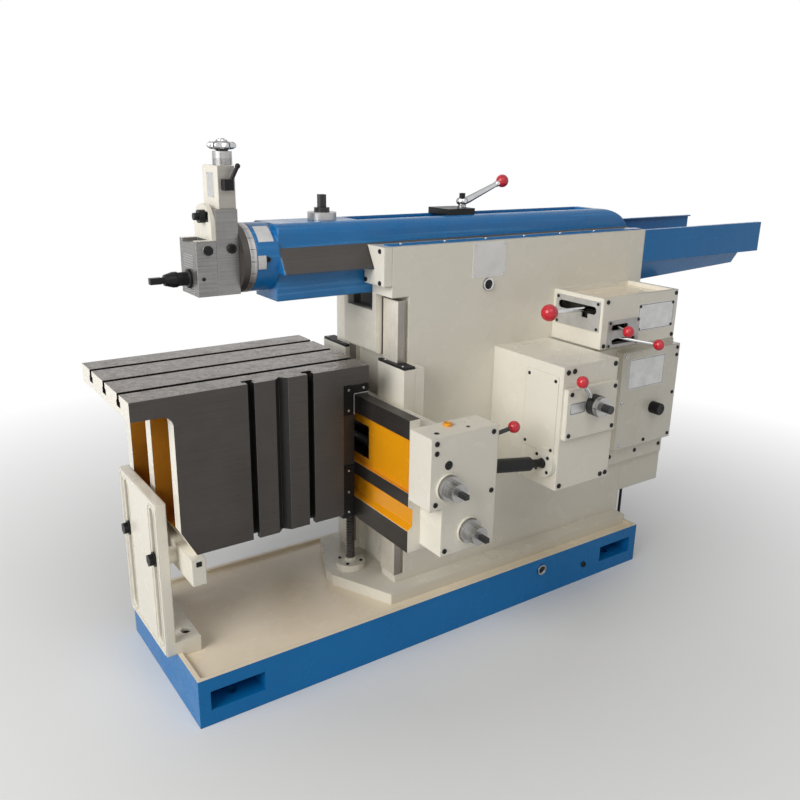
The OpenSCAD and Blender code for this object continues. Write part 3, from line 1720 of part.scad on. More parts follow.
module oil_pipe() {
    x = rear_x + pipe_in[0];
    y = side_y + pipe_in[1];
    z = base_h / 2;
    color(rubber) {
        along_z([x, y, z], pipe_r, rear_z0 - z);
        translate([x, y, z]) sphere(r = pipe_r);
        along_x([rear_x, y, z], pipe_r, x - rear_x);
    }
}

base();
column();
ram_way_caps();
ram_gib();
rear_guard();
rear_housing();
motor();
belt_guard();
drive_belts();
feed_box();
feed_box_cover();
speed_box();
lever_plates();
gear_plate();
gear_cover();
sight_glasses();
oil_pipe();
support_bracket();
elevating_screw();
screw_flange();
rocker_pin();
motor_pulley();
pinion_shaft();
bull_gear();
rocker_arm();
slide_block();
ram();
ram_link();
clamp_block();
clamp_lever();
position_shaft();
swivel_head();
tool_slide();
slide_housing();
downfeed_screw();
handwheel();
slide_lock();
apron();
apron_bolt();
clapper();
clapper_pin();
tool_post();
crossrail();
way_keepers();
inner_screw();
cross_gearbox();
cross_screw();
elevation_shaft();
reverse_lever();
feed_sleeve();
feed_rod();
table();
support_bar();
support_bolts();
feed_dial();
feed_lever();
speed_lever_upper();
speed_lever_lower();
clutch_lever();
cover_knob();
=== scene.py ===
# %% [markdown]
# # A metal shaper in cream and blue enamel
# The shaper's castings, slides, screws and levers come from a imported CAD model, which this
# lesson loads as a fixed frame. What is left to do is the surface: enamel over filled castings,
# planed and scraped iron, turned dials, black screws, bare plates, and the light they stand in.
# Lengths in the lesson are millimetres on the machine, turned into Blender's metres at one place.

import math
from collections import namedtuple

import bmesh
import bpy
from mathutils import Matrix, Vector


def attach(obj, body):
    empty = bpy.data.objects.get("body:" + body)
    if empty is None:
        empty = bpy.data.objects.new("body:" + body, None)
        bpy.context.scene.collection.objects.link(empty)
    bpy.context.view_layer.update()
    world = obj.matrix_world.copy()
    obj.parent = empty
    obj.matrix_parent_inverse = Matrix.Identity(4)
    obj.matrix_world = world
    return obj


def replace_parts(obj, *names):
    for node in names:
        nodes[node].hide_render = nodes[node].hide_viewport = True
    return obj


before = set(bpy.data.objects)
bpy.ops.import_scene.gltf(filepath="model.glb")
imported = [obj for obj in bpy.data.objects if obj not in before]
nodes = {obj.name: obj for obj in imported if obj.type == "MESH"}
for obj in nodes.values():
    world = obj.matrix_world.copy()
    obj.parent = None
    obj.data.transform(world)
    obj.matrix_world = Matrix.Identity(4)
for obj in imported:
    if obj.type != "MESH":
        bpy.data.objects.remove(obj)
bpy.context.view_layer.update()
MM = 0.001


# %% [markdown]
# ## Wiring nodes by hand
# A material is a small circuit. One helper adds a node, sets its properties and joins its
# sockets, so that each finish below reads as a list of steps. Another starts a node group, the
# way to build an effect once and place it in many materials with other values.


# %% Helpers for node circuits
def wire(tree, kind, inputs, **settings):
    made = tree.nodes.new(kind)
    for key, value in settings.items():
        setattr(made, key, value)
    for key, value in inputs.items():
        if isinstance(value, bpy.types.NodeSocket):
            tree.links.new(value, made.inputs[key])
        else:
            made.inputs[key].default_value = value
    return made


FLOAT, VECTOR, COLOUR = "NodeSocketFloat", "NodeSocketVector", "NodeSocketColor"


def new_group(name, inputs, outputs):
    tree = bpy.data.node_groups.new(name, "ShaderNodeTree")
    for label, kind, value in inputs:
        socket = tree.interface.new_socket(label, in_out="INPUT", socket_type=kind)
        socket.default_value = value
    for label, kind in outputs:
        tree.interface.new_socket(label, in_out="OUTPUT", socket_type=kind)
    return tree, tree.nodes.new("NodeGroupInput").outputs, tree.nodes.new("NodeGroupOutput").inputs


def close_group(tree, sockets, *values):
    for value, socket in zip(values, sockets.values()):
        tree.links.new(value, socket)
    return tree


def place_group(tree, group, inputs):
    return wire(tree, "ShaderNodeGroup", inputs, node_tree=group).outputs


def noise(tree, vector, scale, detail=2.0, rough=0.5):
    inputs = {"Vector": vector, "Scale": scale, "Detail": detail, "Roughness": rough}
    return wire(tree, "ShaderNodeTexNoise", inputs).outputs[0]


def remap(tree, value, low, high, to_low=0.0, to_high=1.0):
    ends = {"From Min": low, "From Max": high, "To Min": to_low, "To Max": to_high}
    return wire(tree, "ShaderNodeMapRange", {"Value": value, **ends}).outputs[0]


def maths(tree, operation, *values):
    return wire(tree, "ShaderNodeMath", dict(enumerate(values)), operation=operation).outputs[0]


def weighed(tree, first, first_share, second, second_share):
    shares = [maths(tree, "MULTIPLY", *pair) for pair in ((first, first_share), (second, second_share))]
    return maths(tree, "ADD", *shares)


def vector_maths(tree, operation, *values):
    return wire(tree, "ShaderNodeVectorMath", dict(enumerate(values)), operation=operation).outputs


def mix_colour(tree, mask, under, top):
    return wire(tree, "ShaderNodeMix", {0: mask, 6: under, 7: top}, data_type="RGBA").outputs[2]


def mix_value(tree, mask, under, top):
    return wire(tree, "ShaderNodeMix", {0: mask, 2: under, 3: top}, data_type="FLOAT").outputs[0]


def surface_place(tree):
    return wire(tree, "ShaderNodeTexCoord", {}).outputs


def rgb(red, green, blue):
    return (red, green, blue, 1.0)


print("circuit helpers ready")

# %% [markdown]
# ## Edges
# A casting has no sharp edge: it is filed, filled and painted, and light runs along the round.
# The Bevel node turns the normal near an edge without a change to the mesh, which suits CAD
# faces. The group also gives a mask of where that happens, for worn edges and for edges
# lightened as a painted highlight.


# %% Group: rounded edge
EDGE_WINDOW = 0.985, 0.82


def make_rounded_edge():
    sockets = [("Normal", VECTOR), ("Edge", FLOAT)]
    tree, given, out = new_group("Rounded edge", [("Radius", FLOAT, 0.003)], sockets)
    bevel = wire(tree, "ShaderNodeBevel", {"Radius": given["Radius"]}, samples=4).outputs[0]
    flat = wire(tree, "ShaderNodeNewGeometry", {}).outputs["True Normal"]
    agree = vector_maths(tree, "DOT_PRODUCT", bevel, flat)["Value"]
    return close_group(tree, out, bevel, remap(tree, agree, *EDGE_WINDOW))


ROUNDED_EDGE = make_rounded_edge()
print("group:", ROUNDED_EDGE.name)

# %% [markdown]
# ## Zones
# One casting carries several finishes: the table is scraped on top, planed at the sides, cream
# in front and orange inside. Two masks choose between them, one for a box in the object's own
# coordinates and one for the way a face looks. Both move with the piece.


# %% Groups: box zone and facing
NEAR, FAR, FRONT, REAR, TOP, UNDER = (0, -1, 0), (0, 1, 0), (-1, 0, 0), (1, 0, 0), (0, 0, 1), (0, 0, -1)
FACE_LIMIT = 0.7


def make_zone():
    corners = [("Low", VECTOR, (-1, -1, -1)), ("High", VECTOR, (1, 1, 1))]
    tree, given, out = new_group("Box zone", corners, [("Mask", FLOAT)])
    here = surface_place(tree)["Object"]
    above = vector_maths(tree, "SUBTRACT", here, given["Low"])[0]
    below = vector_maths(tree, "SUBTRACT", given["High"], here)[0]
    least = vector_maths(tree, "MINIMUM", above, below)[0]
    parts = wire(tree, "ShaderNodeSeparateXYZ", {0: least}).outputs
    low = maths(tree, "MINIMUM", maths(tree, "MINIMUM", parts[0], parts[1]), parts[2])
    return close_group(tree, out, maths(tree, "GREATER_THAN", low, 0.0))


def make_facing():
    inputs = [("Direction", VECTOR, TOP), ("Limit", FLOAT, FACE_LIMIT)]
    tree, given, out = new_group("Facing", inputs, [("Mask", FLOAT)])
    normal = surface_place(tree)["Normal"]
    along = vector_maths(tree, "DOT_PRODUCT", normal, given["Direction"])["Value"]
    return close_group(tree, out, maths(tree, "GREATER_THAN", along, given["Limit"]))


ZONE = make_zone()
FACING = make_facing()


def zone(tree, low, high):
    scaled = [tuple(v * MM for v in corner) for corner in (low, high)]
    return place_group(tree, ZONE, {"Low": scaled[0], "High": scaled[1]})["Mask"]


def facing(tree, direction, limit=FACE_LIMIT):
    return place_group(tree, FACING, {"Direction": direction, "Limit": limit})["Mask"]


def both(tree, first, second):
    return maths(tree, "MULTIPLY", first, second)


def either(tree, first, second):
    return maths(tree, "MAXIMUM", first, second)


def face_in(tree, direction, box, limit=FACE_LIMIT):
    return both(tree, facing(tree, direction, limit), zone(tree, *box))


print("groups:", ZONE.name, "and", FACING.name)

# %% [markdown]
# ## Enamel
# The castings are filled, rubbed down and sprayed. Close to, the film has a fine orange peel;
# further off, the filler leaves slow waves that bend the reflections, and oily hands leave
# slightly darker, duller patches. Noise at three sizes gives the three effects.


# %% Group: enamel
PATCH_SCALE, SPECK_SCALE, PEEL_SCALE, FILLER_SCALE, GLOSS_SCALE = 3.1, 95.0, 330.0, 7.5, 14.0
PATCH_WINDOW, SPECK_WINDOW, NOISE_WINDOW = (0.42, 0.72), (0.60, 0.74), (0.3, 0.7)
SPECK_SHARE, PEEL_HEIGHT, FILLER_HEIGHT = 0.5, 0.10, 0.9
ENAMEL_ROUGH = 0.16, 0.32
SKIN_SOCKETS = [("Colour", COLOUR), ("Roughness", FLOAT), ("Height", FLOAT)]


def make_enamel():
    inputs = [
        ("Colour", COLOUR, rgb(0.8, 0.8, 0.8)),
        ("Handled colour", COLOUR, rgb(0.6, 0.6, 0.6)),
        ("Handled amount", FLOAT, 0.3),
    ]
    tree, given, out = new_group("Enamel film", inputs, SKIN_SOCKETS)
    here = surface_place(tree)["Object"]
    patches = remap(tree, noise(tree, here, PATCH_SCALE, 5.0, 0.6), *PATCH_WINDOW)
    specks = remap(tree, noise(tree, here, SPECK_SCALE, 3.0, 0.6), *SPECK_WINDOW, 0.0, SPECK_SHARE)
    handled = maths(tree, "MULTIPLY", maths(tree, "MAXIMUM", patches, specks), given["Handled amount"])
    peel = noise(tree, here, PEEL_SCALE, 1.0)
    filler = noise(tree, here, FILLER_SCALE)
    gloss = noise(tree, here, GLOSS_SCALE, 4.0)
    colour = mix_colour(tree, handled, given["Colour"], given["Handled colour"])
    rough = remap(tree, gloss, *NOISE_WINDOW, *ENAMEL_ROUGH)
    return close_group(tree, out, colour, rough, weighed(tree, peel, PEEL_HEIGHT, filler, FILLER_HEIGHT))


ENAMEL = make_enamel()
print("group:", ENAMEL.name)

# %% [markdown]
# ## Machined iron and steel
# A planed face keeps the straight tracks of its cutter, a turned one its rings, and the table's
# top the overlapping strokes of a hand scraper. Tracks are noise stretched along the cut;
# scraper strokes are small cells, each tilted and toned a little differently under a film of oil.


# %% Groups: planed, scraped
STAIN_SCALE, STROKE_SCALE, OIL_SCALE = 6.0, 110.0, 34.0
TRACK_SHARE, STAIN_SHARE, CELL_SHARE, OIL_SHARE = 0.55, 0.6, 0.45, 0.75
PLANED_WINDOW, SCRAPED_WINDOW, OIL_WINDOW = (0.38, 0.80), (0.25, 0.92), (0.35, 0.65)
PLANED_ROUGH, SCRAPED_ROUGH = (0.30, 0.46), (0.14, 0.42)
OIL_HEIGHT = 0.8


def make_planed():
    inputs = [
        ("Light", COLOUR, rgb(0.3, 0.3, 0.3)),
        ("Dark", COLOUR, rgb(0.1, 0.1, 0.1)),
        ("Tracks", VECTOR, (4, 400, 400)),
    ]
    tree, given, out = new_group("Planed iron", inputs, SKIN_SOCKETS)
    here = surface_place(tree)["Object"]
    drawn = vector_maths(tree, "MULTIPLY", here, given["Tracks"])[0]
    track = noise(tree, drawn, 1.0, 4.0, 0.65)
    stain = noise(tree, here, STAIN_SCALE, 5.0, 0.65)
    tone = remap(tree, weighed(tree, track, TRACK_SHARE, stain, STAIN_SHARE), *PLANED_WINDOW)
    colour = mix_colour(tree, tone, given["Dark"], given["Light"])
    return close_group(tree, out, colour, remap(tree, stain, *NOISE_WINDOW, *PLANED_ROUGH), track)


def make_scraped():
    inputs = [("Light", COLOUR, rgb(0.4, 0.4, 0.4)), ("Dark", COLOUR, rgb(0.1, 0.1, 0.1))]
    tree, given, out = new_group("Scraped iron", inputs, SKIN_SOCKETS)
    here = surface_place(tree)["Object"]
    cells = {"Vector": here, "Scale": STROKE_SCALE, "Randomness": 1.0}
    stroke = wire(tree, "ShaderNodeTexVoronoi", cells).outputs
    cell = wire(tree, "ShaderNodeSeparateColor", {0: stroke["Color"]}).outputs[0]
    oil = noise(tree, here, OIL_SCALE, 5.0, 0.7)
    tone = remap(tree, weighed(tree, cell, CELL_SHARE, oil, OIL_SHARE), *SCRAPED_WINDOW)
    relief = maths(tree, "ADD", stroke["Distance"], maths(tree, "MULTIPLY", oil, OIL_HEIGHT))
    colour = mix_colour(tree, tone, given["Dark"], given["Light"])
    return close_group(tree, out, colour, remap(tree, oil, *OIL_WINDOW, *SCRAPED_ROUGH), relief)


PLANED = make_planed()
SCRAPED = make_scraped()
print("groups:", PLANED.name, "and", SCRAPED.name)

# %% [markdown]
# ## Dial graduations
# Collars and the swivel ring carry engraved lines, with a longer line at each tenth. The angle
# round the axis, cut into equal steps, marks them without any mesh. One input says how far
# across the band a point lies, so that short and long lines differ.


# %% Group: graduations
SHORT_LINE, LONG_LINE = (0.13, 0.5), (0.02, 0.85)
LINES_PER_LONG = 10.0


def make_graduations():
    inputs = [(label, FLOAT, 0.0) for label in ("Across", "First", "Second")] + [("Lines", FLOAT, 100.0)]
    tree, given, out = new_group("Graduations", inputs, [("Mask", FLOAT)])
    turn = maths(tree, "DIVIDE", maths(tree, "ARCTAN2", given["First"], given["Second"]), 2 * math.pi)

    def lines(count, width, reach):
        step = maths(tree, "FRACT", maths(tree, "MULTIPLY", turn, count))
        off = maths(tree, "ABSOLUTE", maths(tree, "SUBTRACT", step, 0.5))
        drawn = maths(tree, "LESS_THAN", off, width)
        return both(tree, drawn, maths(tree, "LESS_THAN", given["Across"], reach))

    short = lines(given["Lines"], *SHORT_LINE)
    long = lines(maths(tree, "DIVIDE", given["Lines"], LINES_PER_LONG), *LONG_LINE)
    inside = maths(tree, "GREATER_THAN", given["Across"], 0.0)
    return close_group(tree, out, both(tree, either(tree, short, long), inside))


GRADUATIONS = make_graduations()


def graduations(tree, axis, centre, start, width, lines):
    parts = wire(tree, "ShaderNodeSeparateXYZ", {0: surface_place(tree)["Object"]}).outputs
    across = maths(tree, "DIVIDE", maths(tree, "SUBTRACT", parts[axis], start * MM), width * MM)
    first, second = [maths(tree, "SUBTRACT", parts[i], centre[i] * MM) for i in range(3) if i != axis]
    inputs = {"Across": across, "First": first, "Second": second, "Lines": float(lines)}
    return place_group(tree, GRADUATIONS, inputs)["Mask"]


print("group:", GRADUATIONS.name)

# %% [markdown]
# ## Skins and finishes
# A skin is the five things that vary over a surface: colour, roughness, how metallic it is, the
# height of its texture and its clear coat. Skins can be laid over one another by a mask. A finish
# then feeds the result to one Principled shader, with the rounded edge under the bump.

# %% Skins
Skin = namedtuple("Skin", "colour rough metal height coat", defaults=(0.0,))

CLOUD_WINDOW = 0.35, 0.7


def group_skin(tree, group, inputs, metal=0.0, coat=0.0):
    face = place_group(tree, group, inputs)
    return Skin(face["Colour"], face["Roughness"], metal, face["Height"], coat)


def enamel(colour, handled, amount, coat=0.0):
    inputs = {"Colour": colour, "Handled colour": handled, "Handled amount": amount}
    return lambda tree: group_skin(tree, ENAMEL, inputs, 0.0, coat)


def planed(light, dark, metal, usual):
    def skin(tree, tracks=usual):
        return group_skin(tree, PLANED, {"Light": light, "Dark": dark, "Tracks": tracks}, metal)

    return skin


def plain(colour, shade, scale, rough, metal):
    def skin(tree):
        cloud = noise(tree, surface_place(tree)["Object"], scale, 3.0, 0.6)
        toned = mix_colour(tree, remap(tree, cloud, *CLOUD_WINDOW), colour, shade)
        return Skin(toned, remap(tree, cloud, *NOISE_WINDOW, *rough), metal, cloud)

    return skin


def scraped_skin(tree):
    tones = {"Light": rgb(0.27, 0.238, 0.215), "Dark": rgb(0.095, 0.083, 0.075)}
    return group_skin(tree, SCRAPED, tones, 0.8)


cream_skin = enamel(rgb(0.79, 0.75, 0.65), rgb(0.72, 0.665, 0.545), 0.22)
tray_skin = enamel(rgb(0.87, 0.76, 0.59), rgb(0.74, 0.63, 0.46), 0.35, 0.25)
blue_skin = enamel(rgb(0.004, 0.165, 0.44), rgb(0.003, 0.125, 0.34), 0.30)
# Painted shade for the pockets in the base.
shade_skin = enamel(rgb(0.006, 0.045, 0.12), rgb(0.004, 0.02, 0.05), 0.8)
orange_skin = enamel(rgb(0.80, 0.33, 0.006), rgb(0.62, 0.24, 0.006), 0.45)
# The bays get a darker, mottled orange than the rail panel: painted shade in the table's deep interior.
bay_shade_skin = enamel(rgb(0.50, 0.20, 0.018), rgb(0.26, 0.095, 0.010), 0.9)
grey_skin = planed(rgb(0.34, 0.33, 0.32), rgb(0.17, 0.165, 0.16), 0.75, (5, 5, 420))
dark_skin = planed(rgb(0.088, 0.079, 0.072), rgb(0.056, 0.051, 0.047), 0.6, (5, 5, 420))
# Near-black iron for slots, grooves, channels and box insides: painted shade in the recesses.
hollow_shade_skin = planed(rgb(0.022, 0.020, 0.018), rgb(0.010, 0.009, 0.009), 0.2, (90, 90, 90))
way_skin = planed(rgb(0.36, 0.33, 0.30), rgb(0.24, 0.22, 0.20), 0.8, (300, 300, 6))
# The front faces of the column ways get a far lighter tone than their sides: partly a real scraped
# finish, partly painted light on the faces that look to the front.
lit_way_skin = planed(rgb(0.92, 0.87, 0.76), rgb(0.70, 0.65, 0.56), 0.35, (160, 160, 40))
housing_skin = planed(rgb(0.52, 0.49, 0.44), rgb(0.36, 0.34, 0.31), 0.3, (5, 5, 300))
steel_skin = planed(rgb(0.54, 0.53, 0.52), rgb(0.33, 0.325, 0.32), 0.9, (300, 300, 300))
black_skin = planed(rgb(0.016, 0.016, 0.017), rgb(0.007, 0.007, 0.007), 0.0, (90, 90, 90))
chrome_skin = plain(rgb(0.60, 0.60, 0.61), rgb(0.50, 0.50, 0.51), 40.0, (0.06, 0.14), 1.0)
red_skin = plain(rgb(0.62, 0.016, 0.030), rgb(0.50, 0.010, 0.022), 60.0, (0.10, 0.18), 0.0)
rubber_skin = plain(rgb(0.012, 0.012, 0.013), rgb(0.022, 0.022, 0.022), 120.0, (0.45, 0.62), 0.0)
plate_skin = plain(rgb(0.62, 0.62, 0.61), rgb(0.52, 0.52, 0.51), 30.0, (0.30, 0.42), 0.55)
lever_plate_skin = plain(rgb(0.40, 0.39, 0.375), rgb(0.31, 0.30, 0.29), 30.0, (0.30, 0.42), 0.4)
card_skin = plain(rgb(0.82, 0.81, 0.79), rgb(0.74, 0.73, 0.70), 22.0, (0.35, 0.50), 0.0)


def lay(tree, under, top, mask):
    def join(first, second, mixer):
        if not isinstance(first, bpy.types.NodeSocket) and first == second:
            return first
        return mixer(tree, mask, first, second)

    mixers = (mix_colour, mix_value, mix_value, mix_value, mix_value)
    return Skin(*[join(*ends) for ends in zip(under, top, mixers)])


def tint(tree, skin, mask, colour):
    return skin._replace(colour=mix_colour(tree, mask, skin.colour, colour))


def finish(name, build, edge, relief, edge_colour=None, edge_amount=0.5, specular=0.5):
    made = bpy.data.materials.new(name)
    made.use_nodes = True
    tree = made.node_tree
    shader = tree.nodes["Principled BSDF"]
    skin = build(tree)
    rounded = place_group(tree, ROUNDED_EDGE, {"Radius": edge * MM})
    # On the enamels this edge tint is a painted highlight along the rounded edges.
    if edge_colour:
        skin = tint(tree, skin, maths(tree, "MULTIPLY", rounded["Edge"], edge_amount), edge_colour)
    raised = {"Strength": relief, "Distance": MM, "Height": skin.height, "Normal": rounded["Normal"]}
    bump = wire(tree, "ShaderNodeBump", raised).outputs[0]
    labels = ("Base Color", "Roughness", "Metallic", "Coat Weight")
    for label, value in zip(labels, (skin.colour, skin.rough, skin.metal, skin.coat)):
        if isinstance(value, bpy.types.NodeSocket):
            tree.links.new(value, shader.inputs[label])
        else:
            shader.inputs[label].default_value = value
    tree.links.new(bump, shader.inputs["Normal"])
    shader.inputs["Specular IOR Level"].default_value = specular
    shader.inputs["Coat Roughness"].default_value = 0.28
    return made


# The two enamel edge colours below are painted highlights: they lighten the cream and the blue along the
# rounded edges.
CREAM_EDGE_HIGHLIGHT = rgb(0.86, 0.82, 0.71)
BLUE_EDGE_HIGHLIGHT = rgb(0.06, 0.24, 0.52)
BRIGHT_EDGE = rgb(0.62, 0.61, 0.60)
OILED_EDGE = rgb(0.30, 0.29, 0.28)
RUBBED_EDGE = rgb(0.16, 0.16, 0.165)
# Colour and window of a painted dark reflection on the turned-away rims of chrome parts.
CHROME_RIM_REFLECTION = rgb(0.07, 0.07, 0.075)
RIM_REFLECTION_WINDOW = 0.30, 0.72

cream_enamel = finish("cream enamel", cream_skin, 5.0, 0.22, CREAM_EDGE_HIGHLIGHT, 0.35, 0.32)
blue_enamel = finish("blue enamel", blue_skin, 3.0, 0.28, BLUE_EDGE_HIGHLIGHT, 0.25, 0.22)
grey_iron = finish("planed iron", grey_skin, 1.5, 0.20, BRIGHT_EDGE, 0.4)
dark_iron = finish("oiled iron", dark_skin, 1.5, 0.20, OILED_EDGE, 0.4)
bright_steel = finish("bright steel", steel_skin, 1.0, 0.12)
black_oxide = finish("black oxide", black_skin, 1.0, 0.15, RUBBED_EDGE, 0.3, 0.2)
chrome = finish("chrome plate", chrome_skin, 1.0, 0.03)
red_grip = finish("red grip", red_skin, 0.5, 0.03)
black_rubber = finish("black rubber", rubber_skin, 1.0, 0.2, specular=0.2)


# Darkens the base colour where the surface turns away from the view: a painted dark reflection on the
# chrome, for the dark surroundings a polished part would mirror.
def paint_dark_rim_reflection(material, dark):
    tree = material.node_tree
    target = tree.nodes["Principled BSDF"].inputs["Base Color"]
    under = target.links[0].from_socket
    turned_away = wire(tree, "ShaderNodeLayerWeight", {"Blend": 0.5}).outputs["Facing"]
    tree.links.new(mix_colour(tree, remap(tree, turned_away, *RIM_REFLECTION_WINDOW), under, dark), target)


paint_dark_rim_reflection(chrome, CHROME_RIM_REFLECTION)
silver_plate = finish("bare plate", plate_skin, 0.4, 0.05)
white_card = finish("white card", card_skin, 0.3, 0.05)
print("plain finishes:", len(bpy.data.materials))

# %% [markdown]
# ## Finishes of two or more skins
# These castings change their surface from face to face. Each recipe starts with the skin that
# covers most of the piece and lays the others over it: a zone says where, and a facing mask
# keeps the change to one side. Some layers are painted light or shade rather than a change of
# surface: the darker bays, slots, channels and pockets, the lighter fronts of the column ways
# and the highlight streaks on the ram.


# %% Table and base
TABLE_FRONT = (-920, -190, 440), (-770, 230, 880)
TABLE_UNDER = (-349, -190, 820), (-260, 230, 825)
TABLE_BAYS = (-811.5, -142.5, 486), (-380, 182.5, 809.5)
TABLE_TOP = (-920, -190, 868), (-200, 230, 873)
SIDE_GROOVE = (-546.5, -181.5, 440), (-509.7, -163, 870.8)
SIDE_SLOTS, TOP_SLOTS, SLOT_HALF = (-612.1, -446.1), (-99, 20, 139), 15.2
SLANT, SLANT_LIMIT = (-0.707, 0, -0.707), 0.6


def table_build(tree):
    front = face_in(tree, SLANT, TABLE_FRONT, SLANT_LIMIT)
    painted = either(tree, front, face_in(tree, UNDER, TABLE_UNDER))
    skin = lay(tree, dark_skin(tree), cream_skin(tree), painted)
    # Painted shade: the bays inside the table take the darker orange.
    skin = lay(tree, skin, bay_shade_skin(tree), zone(tree, *TABLE_BAYS))
    skin = lay(tree, skin, scraped_skin(tree), face_in(tree, TOP, TABLE_TOP))
    # The T-slots and the V groove take near-black iron: painted shade inside them.
    cuts = [((x - SLOT_HALF, -181.5, 440), (x + SLOT_HALF, -149, 870.8)) for x in SIDE_SLOTS]
    cuts.append(SIDE_GROOVE)
    cuts += [((-911.5, y - SLOT_HALF, 838), (-262, y + SLOT_HALF, 870.5)) for y in TOP_SLOTS]
    for cut in cuts:
        skin = lay(tree, skin, hollow_shade_skin(tree), zone(tree, *cut))
    return skin


BASE_RIM = (-900, -300, 128), (900, 300, 150)
BASE_TRAY = (-812, -252, 128), (812, 252, 150)
POCKET_X, POCKET_Y, POCKET_LOW, POCKET_HIGH = 717, 216, 44, 99.5
POCKET_HALF_X, POCKET_HALF_Y = 75.5, 48.5


def base_build(tree):
    tray = either(tree, face_in(tree, TOP, BASE_RIM), zone(tree, *BASE_TRAY))
    skin = lay(tree, blue_skin(tree), tray_skin(tree), tray)
    # The four pockets take a much darker blue: painted shade in the recesses.
    shade = shade_skin(tree)
    for x in (-POCKET_X, POCKET_X):
        for y in (-POCKET_Y, POCKET_Y):
            low = (x - POCKET_HALF_X, y - POCKET_HALF_Y, POCKET_LOW)
            high = (x + POCKET_HALF_X, y + POCKET_HALF_Y, POCKET_HIGH)
            skin = lay(tree, skin, shade, zone(tree, low, high))
    return skin


COLUMN_WAYS = (-165.5, -165.5, 190.5), (-141.5, 165.5, 1030.5)


def column_build(tree):
    ways = zone(tree, *COLUMN_WAYS)
    skin = lay(tree, cream_skin(tree), way_skin(tree), ways)
    # Front faces of the ways: the lighter tone is partly scraped finish, partly painted light.
    return lay(tree, skin, lit_way_skin(tree), both(tree, ways, facing(tree, FRONT)))


RAIL_Y = -364.5, 499.5


def rail_box(low_x, high_x, low_z, high_z):
    return (low_x, RAIL_Y[0], low_z), (high_x, RAIL_Y[1], high_z)


RAIL_PANEL = rail_box(-258.5, -240, 449.5, 709.5)
RAIL_FRONTS = [rail_box(-260, -258, low, high) for low, high in ((384, 449), (521, 560), (710, 764))]
RAIL_ROOF = rail_box(-260, -224, 762, 764)
RAIL_UNDER = rail_box(-260, -160, 384, 386)
RAIL_CHANNEL = (-246.5, -150.5, 581), (-178, 390.5, 681)


def crossrail_build(tree):
    skin = lay(tree, cream_skin(tree), orange_skin(tree), zone(tree, *RAIL_PANEL))
    ways = either(tree, face_in(tree, TOP, RAIL_ROOF), face_in(tree, UNDER, RAIL_UNDER))
    for box in RAIL_FRONTS:
        ways = either(tree, ways, face_in(tree, FRONT, box))
    skin = lay(tree, skin, dark_skin(tree, (420, 5, 420)), ways)
    # The channel in the rail panel takes near-black iron: painted shade.
    return lay(tree, skin, hollow_shade_skin(tree), zone(tree, *RAIL_CHANNEL))


TABLE_EDGE = rgb(0.50, 0.48, 0.45)
FINISHES = {
    "table": finish("table", table_build, 1.2, 0.3, TABLE_EDGE, 0.35, 0.35),
    "base": finish("base", base_build, 4.0, 0.25, specular=0.2),
    "column": finish("column", column_build, 5.0, 0.22, CREAM_EDGE_HIGHLIGHT, 0.3, 0.32),
    "crossrail": finish("crossrail", crossrail_build, 2.5, 0.22, CREAM_EDGE_HIGHLIGHT, 0.2, 0.32),
}
print("finishes for", sorted(FINISHES))


# %% Ram and tool head
RAM_FLANK = (-475.5, -116, 1115.5), (864.5, 116, 1180.5)
RAM_CORE = (-475.5, -65, 1000), (864.5, 65, 1118)
# The ram's shoulder gets lighter blue streaks along its length: a painted highlight, standing in for the
# broken reflections of a wavy enamel. The ram's edge colour is a painted highlight too.
RAM_EDGE_HIGHLIGHT, STREAK_HIGHLIGHT_BLUE = rgb(0.03, 0.24, 0.55), rgb(0.10, 0.36, 0.70)
SHOULDER, SHOULDER_LIMIT = (0, -0.6, 0.8), 0.5
HIGHLIGHT_TRACKS, HIGHLIGHT_WINDOW, HIGHLIGHT_AMOUNT = (1.6, 110, 110), (0.54, 0.68), 0.40


def ram_build(tree):
    flank = zone(tree, *RAM_FLANK)
    sides = maths(tree, "LESS_THAN", facing(tree, REAR), 0.5)
    core = both(tree, flank, zone(tree, *RAM_CORE))
    machined = maths(tree, "SUBTRACT", both(tree, flank, sides), core)
    # Stretched noise on the faces of the shoulder that look up and to the near side, tinted a lighter
    # blue: painted highlight streaks.
    drawn = vector_maths(tree, "MULTIPLY", surface_place(tree)["Object"], HIGHLIGHT_TRACKS)[0]
    highlight_streaks = remap(tree, noise(tree, drawn, 1.0, 3.0, 0.6), *HIGHLIGHT_WINDOW, 0.0, HIGHLIGHT_AMOUNT)
    shoulder_highlight = both(tree, facing(tree, SHOULDER, SHOULDER_LIMIT), highlight_streaks)
    highlighted_blue = tint(tree, blue_skin(tree), shoulder_highlight, STREAK_HIGHLIGHT_BLUE)
    return lay(tree, highlighted_blue, dark_skin(tree, (4, 420, 420)), machined)


SWIVEL_RING = (-555.5, -100, 1050), (-538.5, 100, 1260)
NECK_Z, WHEEL_X = 1153, -583
INK, RING_INK = rgb(0.05, 0.05, 0.05), rgb(0.03, 0.03, 0.03)


def swivel_build(tree):
    skin = lay(tree, dark_skin(tree, (420, 6, 6)), steel_skin(tree), zone(tree, *SWIVEL_RING))
    return tint(tree, skin, graduations(tree, 0, (0, 0, NECK_Z), -555, 16, 180), RING_INK)


APRON_BARE = (-700, -56, 1040), (-630, 56, 1206)


def apron_build(tree):
    return lay(tree, cream_skin(tree), grey_skin(tree, (5, 5, 200)), zone(tree, *APRON_BARE))


def housing_build(tree):
    sides = either(tree, facing(tree, NEAR), facing(tree, FAR))
    return lay(tree, cream_skin(tree), housing_skin(tree), sides)


LEVER_PLATE = (445, -376, 860), (592, -367, 950)
SPEED_TRAY = (436, -356, 995), (750, -178, 1010)
SPEED_HOLLOW = (427, -366, 864), (760, -167, 1000)
POSITION_COLLAR = (-350, -45, 1239), (-260, 45, 1260.4)


